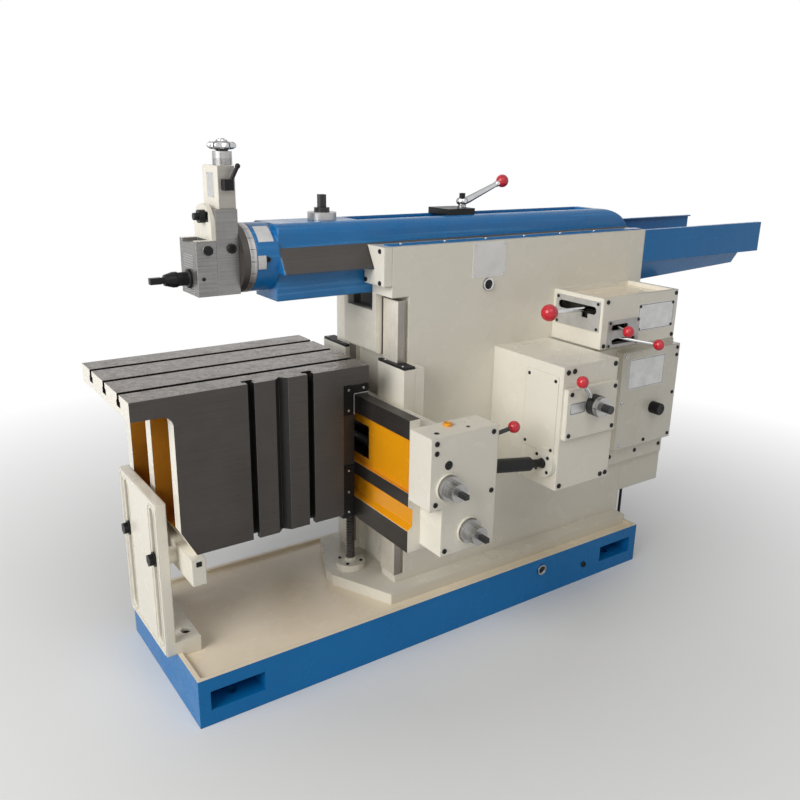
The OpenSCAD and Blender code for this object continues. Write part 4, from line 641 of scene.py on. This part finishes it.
def plates_build(tree):
    return lay(tree, plate_skin(tree), lever_plate_skin(tree), zone(tree, *LEVER_PLATE))


def tray_box_build(tree):
    skin = lay(tree, cream_skin(tree), tray_skin(tree), face_in(tree, TOP, SPEED_TRAY))
    # The inside of the speed box takes near-black iron: painted shade.
    return lay(tree, skin, hollow_shade_skin(tree), zone(tree, *SPEED_HOLLOW))


def position_build(tree):
    return lay(tree, black_skin(tree), steel_skin(tree), zone(tree, *POSITION_COLLAR))


def collar_build(tree):
    return tint(tree, steel_skin(tree), graduations(tree, 2, (WHEEL_X, 0, 0), 1382.1, 32.9, 60), INK)


FINISHES |= {
    "ram": finish("ram", ram_build, 9.0, 0.25, RAM_EDGE_HIGHLIGHT, 0.25, 0.42),
    "swivel_head": finish("swivel head", swivel_build, 1.0, 0.15),
    "apron": finish("apron", apron_build, 3.0, 0.2, CREAM_EDGE_HIGHLIGHT, 0.4, 0.32),
    "slide_housing": finish("slide housing", housing_build, 3.0, 0.2, CREAM_EDGE_HIGHLIGHT, 0.4, 0.32),
    "lever_plates": finish("lever plates", plates_build, 0.5, 0.05),
    "speed_box": finish("speed box", tray_box_build, 4.0, 0.22, CREAM_EDGE_HIGHLIGHT, 0.35, 0.32),
    "position_shaft": finish("position shaft", position_build, 1.0, 0.12),
    "downfeed_screw": finish("down-feed collar", collar_build, 0.8, 0.1),
}
print("finishes for", len(FINISHES), "nodes")


# %% Dials and levers
CROSS_DIAL, LIFT_DIAL = (-203, 602), (-129, 462)
DIAL_FACE, DIAL_WIDTH, DIAL_LINES = -510, 34, 100
HUB_HALF, HUB_END, HUB_GAP = 10, -560, 0.2


def dial_build(x, z):
    def build(tree):
        lines = graduations(tree, 1, (x, 0, z), DIAL_FACE, DIAL_WIDTH, DIAL_LINES)
        skin = tint(tree, steel_skin(tree), lines, INK)
        low = (x - HUB_HALF, HUB_END, z - HUB_HALF)
        high = (x + HUB_HALF, DIAL_FACE - HUB_GAP, z + HUB_HALF)
        return lay(tree, skin, black_skin(tree), zone(tree, low, high))

    return build


FEED_AXIS = (297, 0, 745)
FEED_RING = (260, -514.5, 700), (340, -498, 790)
FEED_HUB = (266, -499, 714), (328, -473, 776)
BALL, LARGE_BALL, BALL_ROOM = 17, 25, 0.6


def feed_dial_build(tree):
    marked = tint(tree, steel_skin(tree), graduations(tree, 1, FEED_AXIS, -514, 16, 60), INK)
    return lay(tree, black_skin(tree), marked, zone(tree, *FEED_RING))


def lever_build(ball, radius=BALL, rod_skin=chrome_skin):
    def build(tree):
        low = tuple(c - radius - BALL_ROOM for c in ball)
        high = tuple(c + radius + BALL_ROOM for c in ball)
        return lay(tree, rod_skin(tree), red_skin(tree), zone(tree, low, high))

    return build


def feed_lever_build(tree):
    skin = lever_build((219, -500.1, 828))(tree)
    return lay(tree, skin, black_skin(tree), zone(tree, *FEED_HUB))


FINISHES |= {
    "cross_screw": finish("cross-feed dial", dial_build(*CROSS_DIAL), 0.8, 0.1),
    "elevation_shaft": finish("elevation dial", dial_build(*LIFT_DIAL), 0.8, 0.1),
    "feed_dial": finish("feed dial", feed_dial_build, 0.8, 0.1),
    "feed_lever": finish("feed lever", feed_lever_build, 0.8, 0.04),
}
CLAMP_TIP = (330, 0, 1332.1)
LEVERS = {
    "clamp_lever": ("clamp lever", lever_build(CLAMP_TIP)),
    "speed_lever_upper": ("upper lever", lever_build((495, -410, 918))),
    "speed_lever_lower": ("lower lever", lever_build((617, -430, 867))),
    "clutch_lever": ("clutch lever", lever_build((274, -300, 978), LARGE_BALL)),
    "reverse_lever": ("reverse lever", lever_build((51, -420, 706), BALL, black_skin)),
}
for node_name, (finish_name, build) in LEVERS.items():
    FINISHES[node_name] = finish(finish_name, build, 0.8, 0.04)
print("finishes for", len(FINISHES), "nodes")

# %% [markdown]
# ## Give every CAD node its finish
# The remaining nodes have one skin each, so a short list by finish is enough. A node without a
# finish would keep a flat colour, and the count at the end shows that none is left.

# %% Assign finishes
PLAIN = {
    "cream enamel": (
        "ram_way_caps rear_housing feed_box feed_box_cover gear_plate gear_cover support_bracket "
        "support_bar way_keepers cross_gearbox screw_flange"
    ),
    "blue enamel": "rear_guard belt_guard motor",
    "planed iron": "tool_slide clapper ram_gib rocker_arm ram_link slide_block",
    "oiled iron": "bull_gear motor_pulley pinion_shaft",
    "bright steel": "elevating_screw inner_screw rocker_pin",
    "chrome plate": "handwheel sight_glasses",
    "black oxide": (
        "clamp_block slide_lock apron_bolt clapper_pin tool_post feed_sleeve feed_rod support_bolts "
        "cover_knob"
    ),
    "black rubber": "drive_belts oil_pipe",
}
for finish_name, members in PLAIN.items():
    for member in members.split():
        FINISHES[member] = bpy.data.materials[finish_name]
for node_name, shape in nodes.items():
    shape.data.materials.clear()
    shape.data.materials.append(FINISHES[node_name])
print("nodes finished:", len(FINISHES), "of", len(nodes))

# %% [markdown]
# ## Small parts in mesh code
# Screws, plates and strips are drawn as rings of points. A frame at each spot has its Z axis
# pointing out of the face, so one drawing serves every side of the machine. All the screws of
# one panel become one mesh, because they are always handled together.


# %% Helpers for small parts
UPRIGHT = 0.9


def on_face(spot, out):
    normal = Vector(out).normalized()
    lift = Vector(TOP)
    if abs(normal.dot(lift)) > UPRIGHT:
        lift = Vector(REAR)
    across = lift.cross(normal).normalized()
    lift = normal.cross(across)
    placing = Matrix((across, lift, normal)).transposed().to_4x4()
    placing.translation = Vector(spot)
    return placing


def add_rings(bm, rings, placing, close=True):
    rows = [[bm.verts.new(placing @ Vector(p)) for p in ring] for ring in rings]
    for first, second in zip(rows, rows[1:]):
        for i in range(len(first)):
            j = (i + 1) % len(first)
            bm.faces.new((first[i], first[j], second[j], second[i]))
    if close:
        bm.faces.new(list(reversed(rows[0])))
        bm.faces.new(rows[-1])


def polar(reach, height, sides=24):
    turns = [2 * math.pi * i / sides for i in range(sides)]
    return [(reach(a) * math.cos(a), reach(a) * math.sin(a), height) for a in turns]


def circle(radius, height, sides=24):
    return polar(lambda angle: radius, height, sides)


def hexagon(radius, height):
    return polar(lambda angle: radius / math.cos((angle % (math.pi / 3)) - math.pi / 6), height)


def rounded_outline(width, height, corner, level, steps=5):
    ring = []
    for cx, cy, start in ((1, 1, 0), (-1, 1, 90), (-1, -1, 180), (1, -1, 270)):
        for i in range(steps + 1):
            angle = math.radians(start + 90 * i / steps)
            x = cx * (width / 2 - corner) + corner * math.cos(angle)
            y = cy * (height / 2 - corner) + corner * math.sin(angle)
            ring.append((x, y, level))
    return ring


SUNK, PLATE_SUNK, LEAST_CORNER, WELD = -0.3, -0.1, 0.2, 0.001
HEAD_CHAMFER, SOCKET_MOUTH, SOCKET_FLOOR, SOCKET_LEVEL = 0.14, 0.5, 0.48, 0.35
TURNED_SIDES, SHARP_ANGLE = 32, math.radians(32)


def cap_screw(bm, placing, radius, height):
    chamfer = radius * HEAD_CHAMFER
    rings = [
        circle(radius, SUNK),
        circle(radius, height - chamfer),
        circle(radius - chamfer, height),
        hexagon(radius * SOCKET_MOUTH, height),
        hexagon(radius * SOCKET_FLOOR, height * SOCKET_LEVEL),
    ]
    add_rings(bm, rings, placing)


def plate(bm, placing, width, height, thick=0.8, corner=2.0, soft=0.3):
    rings = [
        rounded_outline(width, height, corner, PLATE_SUNK),
        rounded_outline(width, height, corner, thick - soft),
        rounded_outline(width - 2 * soft, height - 2 * soft, max(corner - soft, LEAST_CORNER), thick),
    ]
    add_rings(bm, rings, placing)


def turned(bm, placing, profile):
    add_rings(bm, [circle(r, h, TURNED_SIDES) for r, h in profile], placing)


def tube(bm, rings, placing):
    add_rings(bm, rings + [rings[0]], placing, False)
    bmesh.ops.remove_doubles(bm, verts=bm.verts, dist=WELD)


def settle(name, bm, material, body):
    bmesh.ops.recalc_face_normals(bm, faces=bm.faces)
    bmesh.ops.scale(bm, vec=(MM, MM, MM), verts=bm.verts)
    mesh = bpy.data.meshes.new(name)
    bm.to_mesh(mesh)
    bm.free()
    mesh.materials.append(material)
    mesh.shade_smooth()
    mesh.set_sharp_from_angle(angle=SHARP_ANGLE)
    made = bpy.data.objects.new(name, mesh)
    bpy.context.scene.collection.objects.link(made)
    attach(made, body)
    return made


def screws(name, body, spots, out, radius=6.5, height=3.0, material=black_oxide):
    bm = bmesh.new()
    for spot in spots:
        cap_screw(bm, on_face(spot, out), radius, height)
    settle(name, bm, material, body)


def bright_screws(name, body, spots, out, radius, height):
    screws(name, body, spots, out, radius, height, chrome)


def plates(name, body, out, rows, material=silver_plate):
    bm = bmesh.new()
    for spot, *sizes in rows:
        plate(bm, on_face(spot, out), *sizes)
    settle(name, bm, material, body)


def turned_work(name, body, works, material=black_oxide):
    bm = bmesh.new()
    for spot, out, profile in works:
        turned(bm, on_face(spot, out), profile)
    settle(name, bm, material, body)


print("small-part helpers ready")

# %% [markdown]
# ## Screws and plates on the boxes
# Every cover on the operator's side is held by socket screws whose black heads stand a little
# proud of the cream enamel. The plates are bare: thin aluminium with rounded corners.

# %% Cross-feed gear box
GEARBOX_Y, GEARBOX_TOP = -460, 742
GEARBOX_SCREWS = (-242, 727), (-242, 701), (-242, 560), (-207, 419), (-57, 726), (-55, 559)
PLUGS = [
    ((-203, GEARBOX_Y, 662), NEAR, [(12, SUNK), (12, 1.5), (10.5, 2.5), (6, 2.5), (5, 0.8)]),
    ((-222, -430, GEARBOX_TOP), TOP, [(7, SUNK), (7, 1.2), (5, 2.0), (4, 1.0)]),
    ((-120, -430, GEARBOX_TOP), TOP, [(5, SUNK), (5, 1.0), (3, 1.6), (2.5, 0.6)]),
]
FILLER = (-160, -395, GEARBOX_TOP), TOP, [(13, SUNK), (13, 6), (11.5, 8), (7, 8.6), (6.5, 7.4)]
screws("gearbox_screws", "knee", [(x, GEARBOX_Y, z) for x, z in GEARBOX_SCREWS], NEAR, 7.0)
turned_work("gearbox_plugs", "knee", PLUGS)
yellow_cap = finish("yellow cap", orange_skin, 1.0, 0.1)
turned_work("oil_filler_cap", "knee", [FILLER], yellow_cap)
print("gear box: six screws, three plugs, one filler cap")

# %% Feed box
FEED_Y, COVER_Y, FEED_FRONT = -458, -474, 190
FEED_SCREWS = (206, 846), (230, 847), (395, 847), (203, 509), (373, 509), (394, 510)
FEED_COVER_SCREWS = (210, 786), (384, 786), (208, 665), (384, 665)
FLANGE, FLANGE_R = (175, -412, 570), 31
QUARTERS = [math.radians(45 + 90 * k) for k in range(4)]
screws("feed_box_screws", "frame", [(x, FEED_Y, z) for x, z in FEED_SCREWS], NEAR, 7.5)
screws("feed_cover_screws", "frame", [(x, COVER_Y, z) for x, z in FEED_COVER_SCREWS], NEAR)
side_cover = (FEED_FRONT, -376, 715), 132, 236, 1.6, 6.0, 1.0
plates("feed_side_cover", "frame", FRONT, [side_cover], cream_enamel)
spots = [(FEED_FRONT - 1.4, y, z) for y in (-430, -324) for z in (612, 817)]
screws("feed_side_screws", "frame", spots, FRONT, 5.0, 2.5)
ring = [Vector((0, FLANGE_R * math.cos(a), FLANGE_R * math.sin(a))) for a in QUARTERS]
screws("feed_flange_screws", "frame", [Vector(FLANGE) + step for step in ring], FRONT, 5.0, 2.5)
plates("feed_plate", "frame", NEAR, [((236, COVER_Y, 743), 60, 34)])
print("feed box: eighteen screws, side cover, bare plate")

# %% Speed box
SPEED_Y, PLATE_SEAT, LEVER_PLATE_SEAT = -368, 0.7, 4
SPEED_SCREWS = (443, 1004), (753, 1005), (752, 873), (439, 872)
screws("speed_box_screws", "frame", [(x, SPEED_Y, z) for x, z in SPEED_SCREWS], NEAR)
plates("speed_plate", "frame", NEAR, [((666, SPEED_Y, 942), 168, 86)])
spots = [(x, SPEED_Y - PLATE_SEAT, z) for x in (590, 742) for z in (907, 977)]
screws("speed_plate_screws", "frame", spots, NEAR, 4.8, 2.0)
spots = [(x, SPEED_Y - LEVER_PLATE_SEAT, z) for x in (457, 581) for z in (870, 940)]
screws("lever_plate_screws", "frame", spots, NEAR, 4.8, 2.0)
spots = [(421, y, z) for y in (-350, -188) for z in (921, 997)]
screws("clutch_plate_screws", "frame", spots, FRONT, 4.8, 2.0)
print("speed box: sixteen screws and one bare plate")

# %% Gear cover
COVER_FRONT, GEAR_PLATE_Y = -215, -185
COVER_SCREWS = (1002, 765), (1002, 738), (1001, 600), (870, 443), (1001, 443)
spots = [(736, COVER_FRONT, z) for z in (764, 600, 441)]
bright_screws("gear_cover_bright_screws", "frame", spots, NEAR, 6.5, 3.0)
screws("gear_cover_screws", "frame", [(x, COVER_FRONT, z) for x, z in COVER_SCREWS], NEAR)
screws("gear_plate_screws", "frame", [(x, GEAR_PLATE_Y, 393) for x in (735, 867, 998)], NEAR, 7.5)
plates("gear_cover_plate", "frame", NEAR, [((847, COVER_FRONT, 697), 186, 109)])
print("gear cover: eleven screws and one bare plate")


# %% Borders of the bare plates
def rim(bm, placing, width, height, corner, band, thick, soft=0.8):
    rising = [(0, SUNK), (0, thick - soft), (soft, thick)]
    steps = rising + [(band - inset, level) for inset, level in reversed(rising)]
    rings = [rounded_outline(width - 2 * i, height - 2 * i, corner - i, level) for i, level in steps]
    tube(bm, rings, placing)


BORDERS = (
    ((847, COVER_FRONT - PLATE_SEAT, 697), 180, 103),
    ((666, SPEED_Y - PLATE_SEAT, 942), 162, 80),
    ((236, COVER_Y - PLATE_SEAT, 743), 56, 30),
)
bm = bmesh.new()
for spot, width, height in BORDERS:
    rim(bm, on_face(spot, NEAR), width, height, 2.5, 1.6, 0.35, 0.2)
settle("plate_borders", bm, dark_iron, "frame")
print("borders on three plates")

# %% Column
COLUMN_Y, BASE_Y, CAP_X = -165, -265, -211
SIDES = (-1, "near"), (1, "far")
CAP_SCREWS = (143, 1165), (144, 1080), (74, 1082)
WINDOWS = [
    ((357, BASE_Y, 101), NEAR, [(12, 0.5), (12, 4.2), (10.5, 5.0), (4, 5.6)]),
    ((149, COLUMN_Y, 1052), NEAR, [(14, 0.5), (14, 4.2), (12, 5.0), (5, 5.8)]),
]
DRAIN = (560, BASE_Y, 59), NEAR, [(10, SUNK), (10, 4.5), (8.5, 5.5), (5, 5.5), (4.5, 2.0)]
card = (153, COLUMN_Y, 1123), 123, 100, 0.6, 2.0, 0.2
plates("column_card", "frame", NEAR, [card], white_card)
spots = [(x, COLUMN_Y - 0.5, z) for x in (98, 208) for z in (1079, 1167)]
bright_screws("column_card_screws", "frame", spots, NEAR, 2.6, 1.4)
for side, mark in SIDES:
    screws(mark + "_cap_screws", "frame", [(CAP_X, side * y, z) for y, z in CAP_SCREWS], FRONT)
turned_work("sight_windows", "frame", WINDOWS)
turned_work("drain_plug", "frame", [DRAIN])
print("column and base: card, ten screws, windows, plug")

# %% [markdown]
# ## The tool head
# The down-feed handwheel is a cast star with eight finger lobes, polished and plated. The tool post
# is a turned black bolt with a square end for the wrench. Both are drawn as rings of points and take
# the place of plainer CAD shapes. The clapper's face has planed ribs that keep a tool from turning.


# %% Handwheel and tool post
def lobed(radius, height, depth, lobes=8, sides=96):
    return polar(lambda angle: radius - depth * (0.5 - 0.5 * math.cos(lobes * angle)), height, sides)


WHEEL = [(8.2, 0, 0), (14, 0, 0), (16, 3, 0), (30, 5, 3), (37, 9, 7), (38, 13.5, 8), (36.5, 18, 7)]
WHEEL += [(30, 22, 4), (20, 21, 1), (14, 24, 0), (13, 27, 0), (8.2, 27, 0)]
bm = bmesh.new()
tube(bm, [lobed(r, h, d) for r, h, d in WHEEL], on_face((WHEEL_X, 0, 1415), TOP))
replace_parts(settle("star_wheel", bm, chrome, "downfeed"), "handwheel")

CLAPPER_X, POST_Z, POST_END = -684.1, 1110, 73.5
POST = [(24, SUNK), (24, 6), (23, 7), (17, 8.5), (17, 30), (19.5, 34)]
POST += [(19.5, 44), (14, 64), (13.2, 66), (8, 66.5), (8, 74)]
bm = bmesh.new()
turned(bm, on_face((CLAPPER_X, 0, POST_Z), FRONT), POST)
plate(bm, on_face((CLAPPER_X - POST_END, 0, POST_Z), FRONT), 16, 16, 28.4, 1.5, 0.8)
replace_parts(settle("wrench_bolt", bm, black_oxide, "clapper"), "tool_post")
print("star wheel and tool bolt take the place of two nodes")

# %% Clapper, apron and slide
RIBS = [1072, 1078, 1084] + list(range(1139, 1175, 6))
APRON_HALF, HOUSING_X = 55, -617
WASHER = (11.4, SUNK), (14, SUNK), (14, 0.8), (13.4, 1.4), (12, 1.4), (11.4, 1.0)
APRON_PLUG = (-668, -APRON_HALF, 1114), NEAR, [(5, SUNK), (5, 0.6), (4.2, 1.0), (3.6, 1.0), (3.2, 0.1)]
rows = [((CLAPPER_X, 0, z), 60, 3.4, 1.4, 1.2, 0.7) for z in RIBS]
plates("clapper_ribs", "clapper", FRONT, rows, bright_steel)
bm = bmesh.new()
for out in (NEAR, FAR):
    tube(bm, [circle(r, h) for r, h in WASHER], on_face((-654.1, APRON_HALF * out[1], 1183), out))
settle("hinge_washers", bm, grey_iron, "apron")
screws("slide_bolts", "tool_slide", [(-592.7, -APRON_HALF, 1184.8)], NEAR, 12, 7)
turned_work("apron_plug", "apron", [APRON_PLUG])
plates("housing_plate", "tool_slide", FRONT, [((HOUSING_X, 0, 1336), 42, 60)])
spots = [(HOUSING_X - PLATE_SEAT, y, z) for y in (-17, 17) for z in (1310, 1362)]
bright_screws("housing_rivets", "tool_slide", spots, FRONT, 2.0, 1.0)
print("tool head: ribs, washers, bolts, bare plate")


# %% Ram neck
NECK_R = 88


def neck_out(angle):
    return Vector((0, -math.sin(math.radians(angle)), math.cos(math.radians(angle))))


def arc_plate(bm, low_x, high_x, low_r, high_r, start, end, steps=16):
    rings = []
    for i in range(steps + 1):
        out = neck_out(start + (end - start) * i / steps)
        corners = ((low_x, low_r), (high_x, low_r), (high_x, high_r), (low_x, high_r))
        rings.append([Vector((x, 0, NECK_Z)) + out * r for x, r in corners])
    add_rings(bm, rings, Matrix.Identity(4))


bm = bmesh.new()
arc_plate(bm, -528, -487, NECK_R - 0.2, NECK_R + 0.8, 24, 58.6)
settle("neck_plate", bm, silver_plate, "ram")
bm = bmesh.new()
arc_plate(bm, -538, -517, NECK_R - 0.3, NECK_R + 6, 81, 102)
settle("angle_pointer", bm, bright_steel, "ram")
BOLT_TURN = 87.6
spot = Vector((-511, 0, NECK_Z)) + neck_out(BOLT_TURN) * NECK_R
screws("neck_bolt", "ram", [spot], neck_out(BOLT_TURN), 7, 5)
print("ram neck: bare plate, pointer, bolt")

# %% [markdown]
# ## Wipers, strips and the elevating screw
# Black wipers keep chips off the ways of the rail and the saddle, and a blue strip covers the ram's
# near way. The elevating screw is a coarse square thread: every ring of the drawing is a circle
# whose radius rises and falls with the turn, so the ridge climbs round the screw.

# %% Way covers and wipers
WAY_TOP, WAY_COVER_T, RAIL_TOP, RAIL_WIPER_T, RAIL_X = 1177, 3, 850, 7, -172.8
RAIL_WIPERS = (RAIL_X, 156, 131, 14), (-154, 194.5, 54, 23)
SADDLE_ENDS = (NEAR, -91, "near"), (FAR, 131, "far")
SADDLE_WIPERS = (-281, 468.5, 37, 164), (-280, 747, 36, 86), (-238, 777, 48, 26)
SADDLE_FELTS = (-263, 734, 2.4, 60), (-238, 765, 48, 2.4)
SADDLE_SCREWS = (-281, 405), (-281, 468), (-281, 535), (-281, 718), (-281, 778), (-232, 779)
SADDLE_WIPER_T, FELT_T = 5, 5.6
cover = (320, -134.5, WAY_TOP), 31, 1008, WAY_COVER_T, 1.0, 0.8
plates("near_way_cover", "frame", TOP, [cover], blue_enamel)
spots = [(x, -134, WAY_TOP + WAY_COVER_T) for x in range(-139, 800, 150)]
bright_screws("way_cover_screws", "frame", spots, TOP, 5.0, 2.5)
for side, mark in SIDES:
    rows = [((x, side * y, RAIL_TOP), w, h, RAIL_WIPER_T, 1.0, 0.6) for x, y, w, h in RAIL_WIPERS]
    plates(mark + "_rail_wiper", "knee", TOP, rows, black_rubber)
    spots = [(RAIL_X, side * y, RAIL_TOP + RAIL_WIPER_T) for y in (118, 205)]
    bright_screws(mark + "_rail_wiper_screws", "knee", spots, TOP, 4.0, 2.0)
for out, y, mark in SADDLE_ENDS:
    rows = [((x, y, z), w, h, SADDLE_WIPER_T, 1.5, 0.8) for x, z, w, h in SADDLE_WIPERS]
    plates(mark + "_saddle_wipers", "table", out, rows, black_rubber)
    rows = [((x, y, z), w, h, FELT_T, 0.5, 0.3) for x, z, w, h in SADDLE_FELTS]
    plates(mark + "_wiper_felt", "table", out, rows, white_card)
    spots = [(x, y + SADDLE_WIPER_T * out[1], z) for x, z in SADDLE_SCREWS]
    bright_screws(mark + "_saddle_screws", "table", spots, out, 4.0, 2.0)
print("wipers on four ends, one way cover")


# %% Elevating screw
def threaded(bm, placing, radius, cut, pitch, length, bore, sides=20, steps=6):
    rings = []
    for k in range(int(length / pitch * steps) + 1):
        height = k * pitch / steps
        ring = []
        for i in range(sides):
            wave = abs(((height / pitch - i / sides) % 1.0) * 2 - 1)
            reach = radius - cut * min(max(wave * 2 - 0.5, 0.0), 1.0)
            angle = 2 * math.pi * i / sides
            ring.append((reach * math.cos(angle), reach * math.sin(angle), height))
        rings.append(ring)
    top = rings[-1][0][2]
    tube(bm, rings + [circle(bore, top, sides), circle(bore, 0, sides)], placing)


LIFT, LIFT_FLANGE_R, LIFT_FLANGE_TOP = (-219, 0, 165), 34, 187
bm = bmesh.new()
threaded(bm, on_face(LIFT, TOP), 14.0, 3.4, 9.5, 228.0, 8.5)
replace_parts(settle("lift_thread", bm, dark_iron, "frame"), "elevating_screw")
ring = [(LIFT_FLANGE_R * math.cos(a), LIFT_FLANGE_R * math.sin(a)) for a in QUARTERS]
screws("lift_flange_screws", "frame", [(LIFT[0] + x, y, LIFT_FLANGE_TOP) for x, y in ring], TOP, 5.0, 3.0)
print("elevating screw threaded")

# %% [markdown]
# ## Support bracket, knob and dial bosses
# The bracket in front of the table is a cast plate with a raised rim, and a bead runs round each of
# its two slots. A rim is one ring of points after another, first up, then across, then down again.

# %% Rims and bosses
BRACKET_X, BRACKET_SLOTS = -852, (-79, 135)
BOSS = (34.2, SUNK), (39, SUNK), (39, 4.4), (38, 5.4), (35, 5.4), (34.2, 4.6)
BOSS_SIDES = 40
KNOB = (900, -251.1, 560), NEAR, [(20, SUNK), (20, 1), (18.6, 2.2), (13, 2.2), (11.8, 1.0), (5, 0.6)]
bm = bmesh.new()
rim(bm, on_face((BRACKET_X, 28, 359), FRONT), 299, 437, 12, 9, 2.5)
for y in BRACKET_SLOTS:
    rim(bm, on_face((BRACKET_X, y, 360), FRONT), 51, 413, 25.5, 4, 2.0)
settle("bracket_rims", bm, cream_enamel, "frame")
screws("bracket_foot_screws", "frame", [(-784.5, y, 152) for y in BRACKET_SLOTS], TOP, 11.0, 16.0)
bm = bmesh.new()
for x, z in (CROSS_DIAL, LIFT_DIAL):
    tube(bm, [circle(r, h, BOSS_SIDES) for r, h in BOSS], on_face((x, GEARBOX_Y, z), NEAR))
settle("dial_bosses", bm, cream_enamel, "knee")
turned_work("knob_face", "cover_knob", [KNOB])
notch = (-781, -207, 434), 15, 14, 0.6
plates("bar_notch", "support_bar", NEAR, [notch], black_oxide)
print("bracket rims, foot screws, two bosses, knob face")

# %% [markdown]
# ## The ram's clamp lever
# The lever that locks the ram's position has an eye like a ball, a rod that tapers to the grip and a
# moulded red knob. It is turned work, so three profiles are enough: one upright for the eye and two
# along the rod, which leans up and back.


# %% Clamp lever
BALL_END = 178


def ball_profile(radius, start, steps=12):
    turns = [math.radians(start + (BALL_END - start) * i / steps) for i in range(steps + 1)]
    return [(radius * math.sin(a), -radius * math.cos(a)) for a in turns]


EYE, ROOT, TIP, GRIP_ROOM = (175, 0, 1258.1), Vector((185, 0, 1274.1)), Vector(CLAMP_TIP), 14
lean = TIP - ROOT
reach = lean.length - GRIP_ROOM
EYE_PROFILE = [(13, 0), (13, 5), (11, 7), (16, 10), (18, 15), (18, 19), (16, 24), (10, 28), (3, 29.5)]
ROD_PROFILE = [(6, 0), (10, 3), (10.4, 14), (9.6, 40), (7.4, reach - 14), (9, reach - 12), (9, reach)]
bm = bmesh.new()
turned(bm, on_face(EYE, TOP), EYE_PROFILE)
turned(bm, on_face(ROOT, lean), ROD_PROFILE)
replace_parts(settle("clamp_handle", bm, chrome, "clamp_lever"), "clamp_lever")
turned_work("clamp_grip", "clamp_lever", [(TIP, lean, ball_profile(19.5, 28))], red_grip)
print("clamp lever: eye, rod and grip")

# %% [markdown]
# ## The floor, the light and the camera
# The machine stands on a pale studio floor that fades to white. A large soft lamp at the left
# front makes the ends of the castings bright and their long sides calmer; a weaker one opens the
# shadows. The white seen by the camera comes from the world and floor, not from more light.

# %% Floor and world
FLOOR, FLOOR_SHADE, WHITE = rgb(0.80, 0.80, 0.79), rgb(0.77, 0.77, 0.765), rgb(1, 1, 1)
FLOOR_R, FLOOR_Z, FLOOR_SIDES = 60.0, -0.0005, 96
FADE = 0.6, 2.8
WORLD_LIGHT, WORLD_SEEN = 0.16, 1.0


def seen_mask(tree):
    ray = wire(tree, "ShaderNodeLightPath", {}).outputs
    mirrored = maths(tree, "ADD", ray["Is Glossy Ray"], ray["Is Transmission Ray"])
    return maths(tree, "MINIMUM", maths(tree, "ADD", ray["Is Camera Ray"], mirrored), 1.0)


floor_mesh = bpy.data.meshes.new("floor")
bm = bmesh.new()
add_rings(bm, [circle(FLOOR_R, FLOOR_Z, FLOOR_SIDES)], Matrix.Identity(4), False)
bm.faces.new(bm.verts)
bm.to_mesh(floor_mesh)
bm.free()
floor = bpy.data.objects.new("floor", floor_mesh)
bpy.context.scene.collection.objects.link(floor)
floor_finish = bpy.data.materials.new("studio floor")
floor_finish.use_nodes = True
tree = floor_finish.node_tree
shader = tree.nodes["Principled BSDF"]
shader.inputs["Roughness"].default_value = 0.6
shader.inputs["Specular IOR Level"].default_value = 0.2
here = surface_place(tree)["Object"]
grain = noise(tree, here, 2.0, 3.0)
tree.links.new(mix_colour(tree, grain, FLOOR, FLOOR_SHADE), shader.inputs["Base Color"])
away = vector_maths(tree, "LENGTH", here)["Value"]
fade = maths(tree, "MULTIPLY", remap(tree, away, *FADE), seen_mask(tree))
glow = wire(tree, "ShaderNodeEmission", {"Color": WHITE, "Strength": 1.0}).outputs[0]
blend = wire(tree, "ShaderNodeMixShader", {0: fade, 1: shader.outputs[0], 2: glow}).outputs[0]
tree.links.new(blend, tree.nodes["Material Output"].inputs["Surface"])
floor_mesh.materials.append(floor_finish)

world = bpy.data.worlds.new("studio")
bpy.context.scene.world = world
world.use_nodes = True
tree = world.node_tree
tree.nodes.clear()
level = mix_value(tree, seen_mask(tree), WORLD_LIGHT, WORLD_SEEN)
sky = wire(tree, "ShaderNodeBackground", {"Color": WHITE, "Strength": level}).outputs[0]
wire(tree, "ShaderNodeOutputWorld", {"Surface": sky})
print("floor and world ready")


# %% Lamps
def lamp(name, place, target, size, power):
    data = bpy.data.lights.new(name, "AREA")
    data.shape = "DISK"
    data.size = size
    data.energy = power
    made = bpy.data.objects.new(name, data)
    made.location = place
    made.rotation_euler = (Vector(target) - Vector(place)).to_track_quat("-Z", "Y").to_euler()
    bpy.context.scene.collection.objects.link(made)


lamp("key", (-7.0, -1.5, 4.1), (0, 0, 0.6), 6.0, 500)
lamp("fill", (-0.6, -3.9, 4.6), (0, -0.2, 0.3), 3.5, 50)

# %% Camera
VIEW_TURN, VIEW_TILT, VIEW_ROLL = (math.radians(a) for a in (-34.67, 17.78, 1.01))
FOCAL_PIXELS, FRAME_PIXELS = 816.0, 800.0
CAMERA_PLACE, SENSOR = (-1.403, -1.972, 1.452), 36.0
level_out = math.cos(VIEW_TILT)
back = Vector((math.sin(VIEW_TURN) * level_out, -math.cos(VIEW_TURN) * level_out, math.sin(VIEW_TILT)))
right = (-back).cross(Vector(TOP)).normalized()
up = right.cross(-back)
side = right * math.cos(VIEW_ROLL) + up * math.sin(VIEW_ROLL)
head = up * math.cos(VIEW_ROLL) - right * math.sin(VIEW_ROLL)
standing = Matrix((side, head, back)).transposed().to_4x4()
standing.translation = Vector(CAMERA_PLACE)
lens = bpy.data.cameras.new("camera")
lens.sensor_width = SENSOR
lens.lens = SENSOR * FOCAL_PIXELS / FRAME_PIXELS
lens.clip_end = 200.0
camera = bpy.data.objects.new("camera", lens)
camera.matrix_world = standing
bpy.context.scene.collection.objects.link(camera)
bpy.context.scene.camera = camera
bpy.context.scene.view_settings.view_transform = "Standard"
print("camera lens", round(lens.lens, 2), "mm")
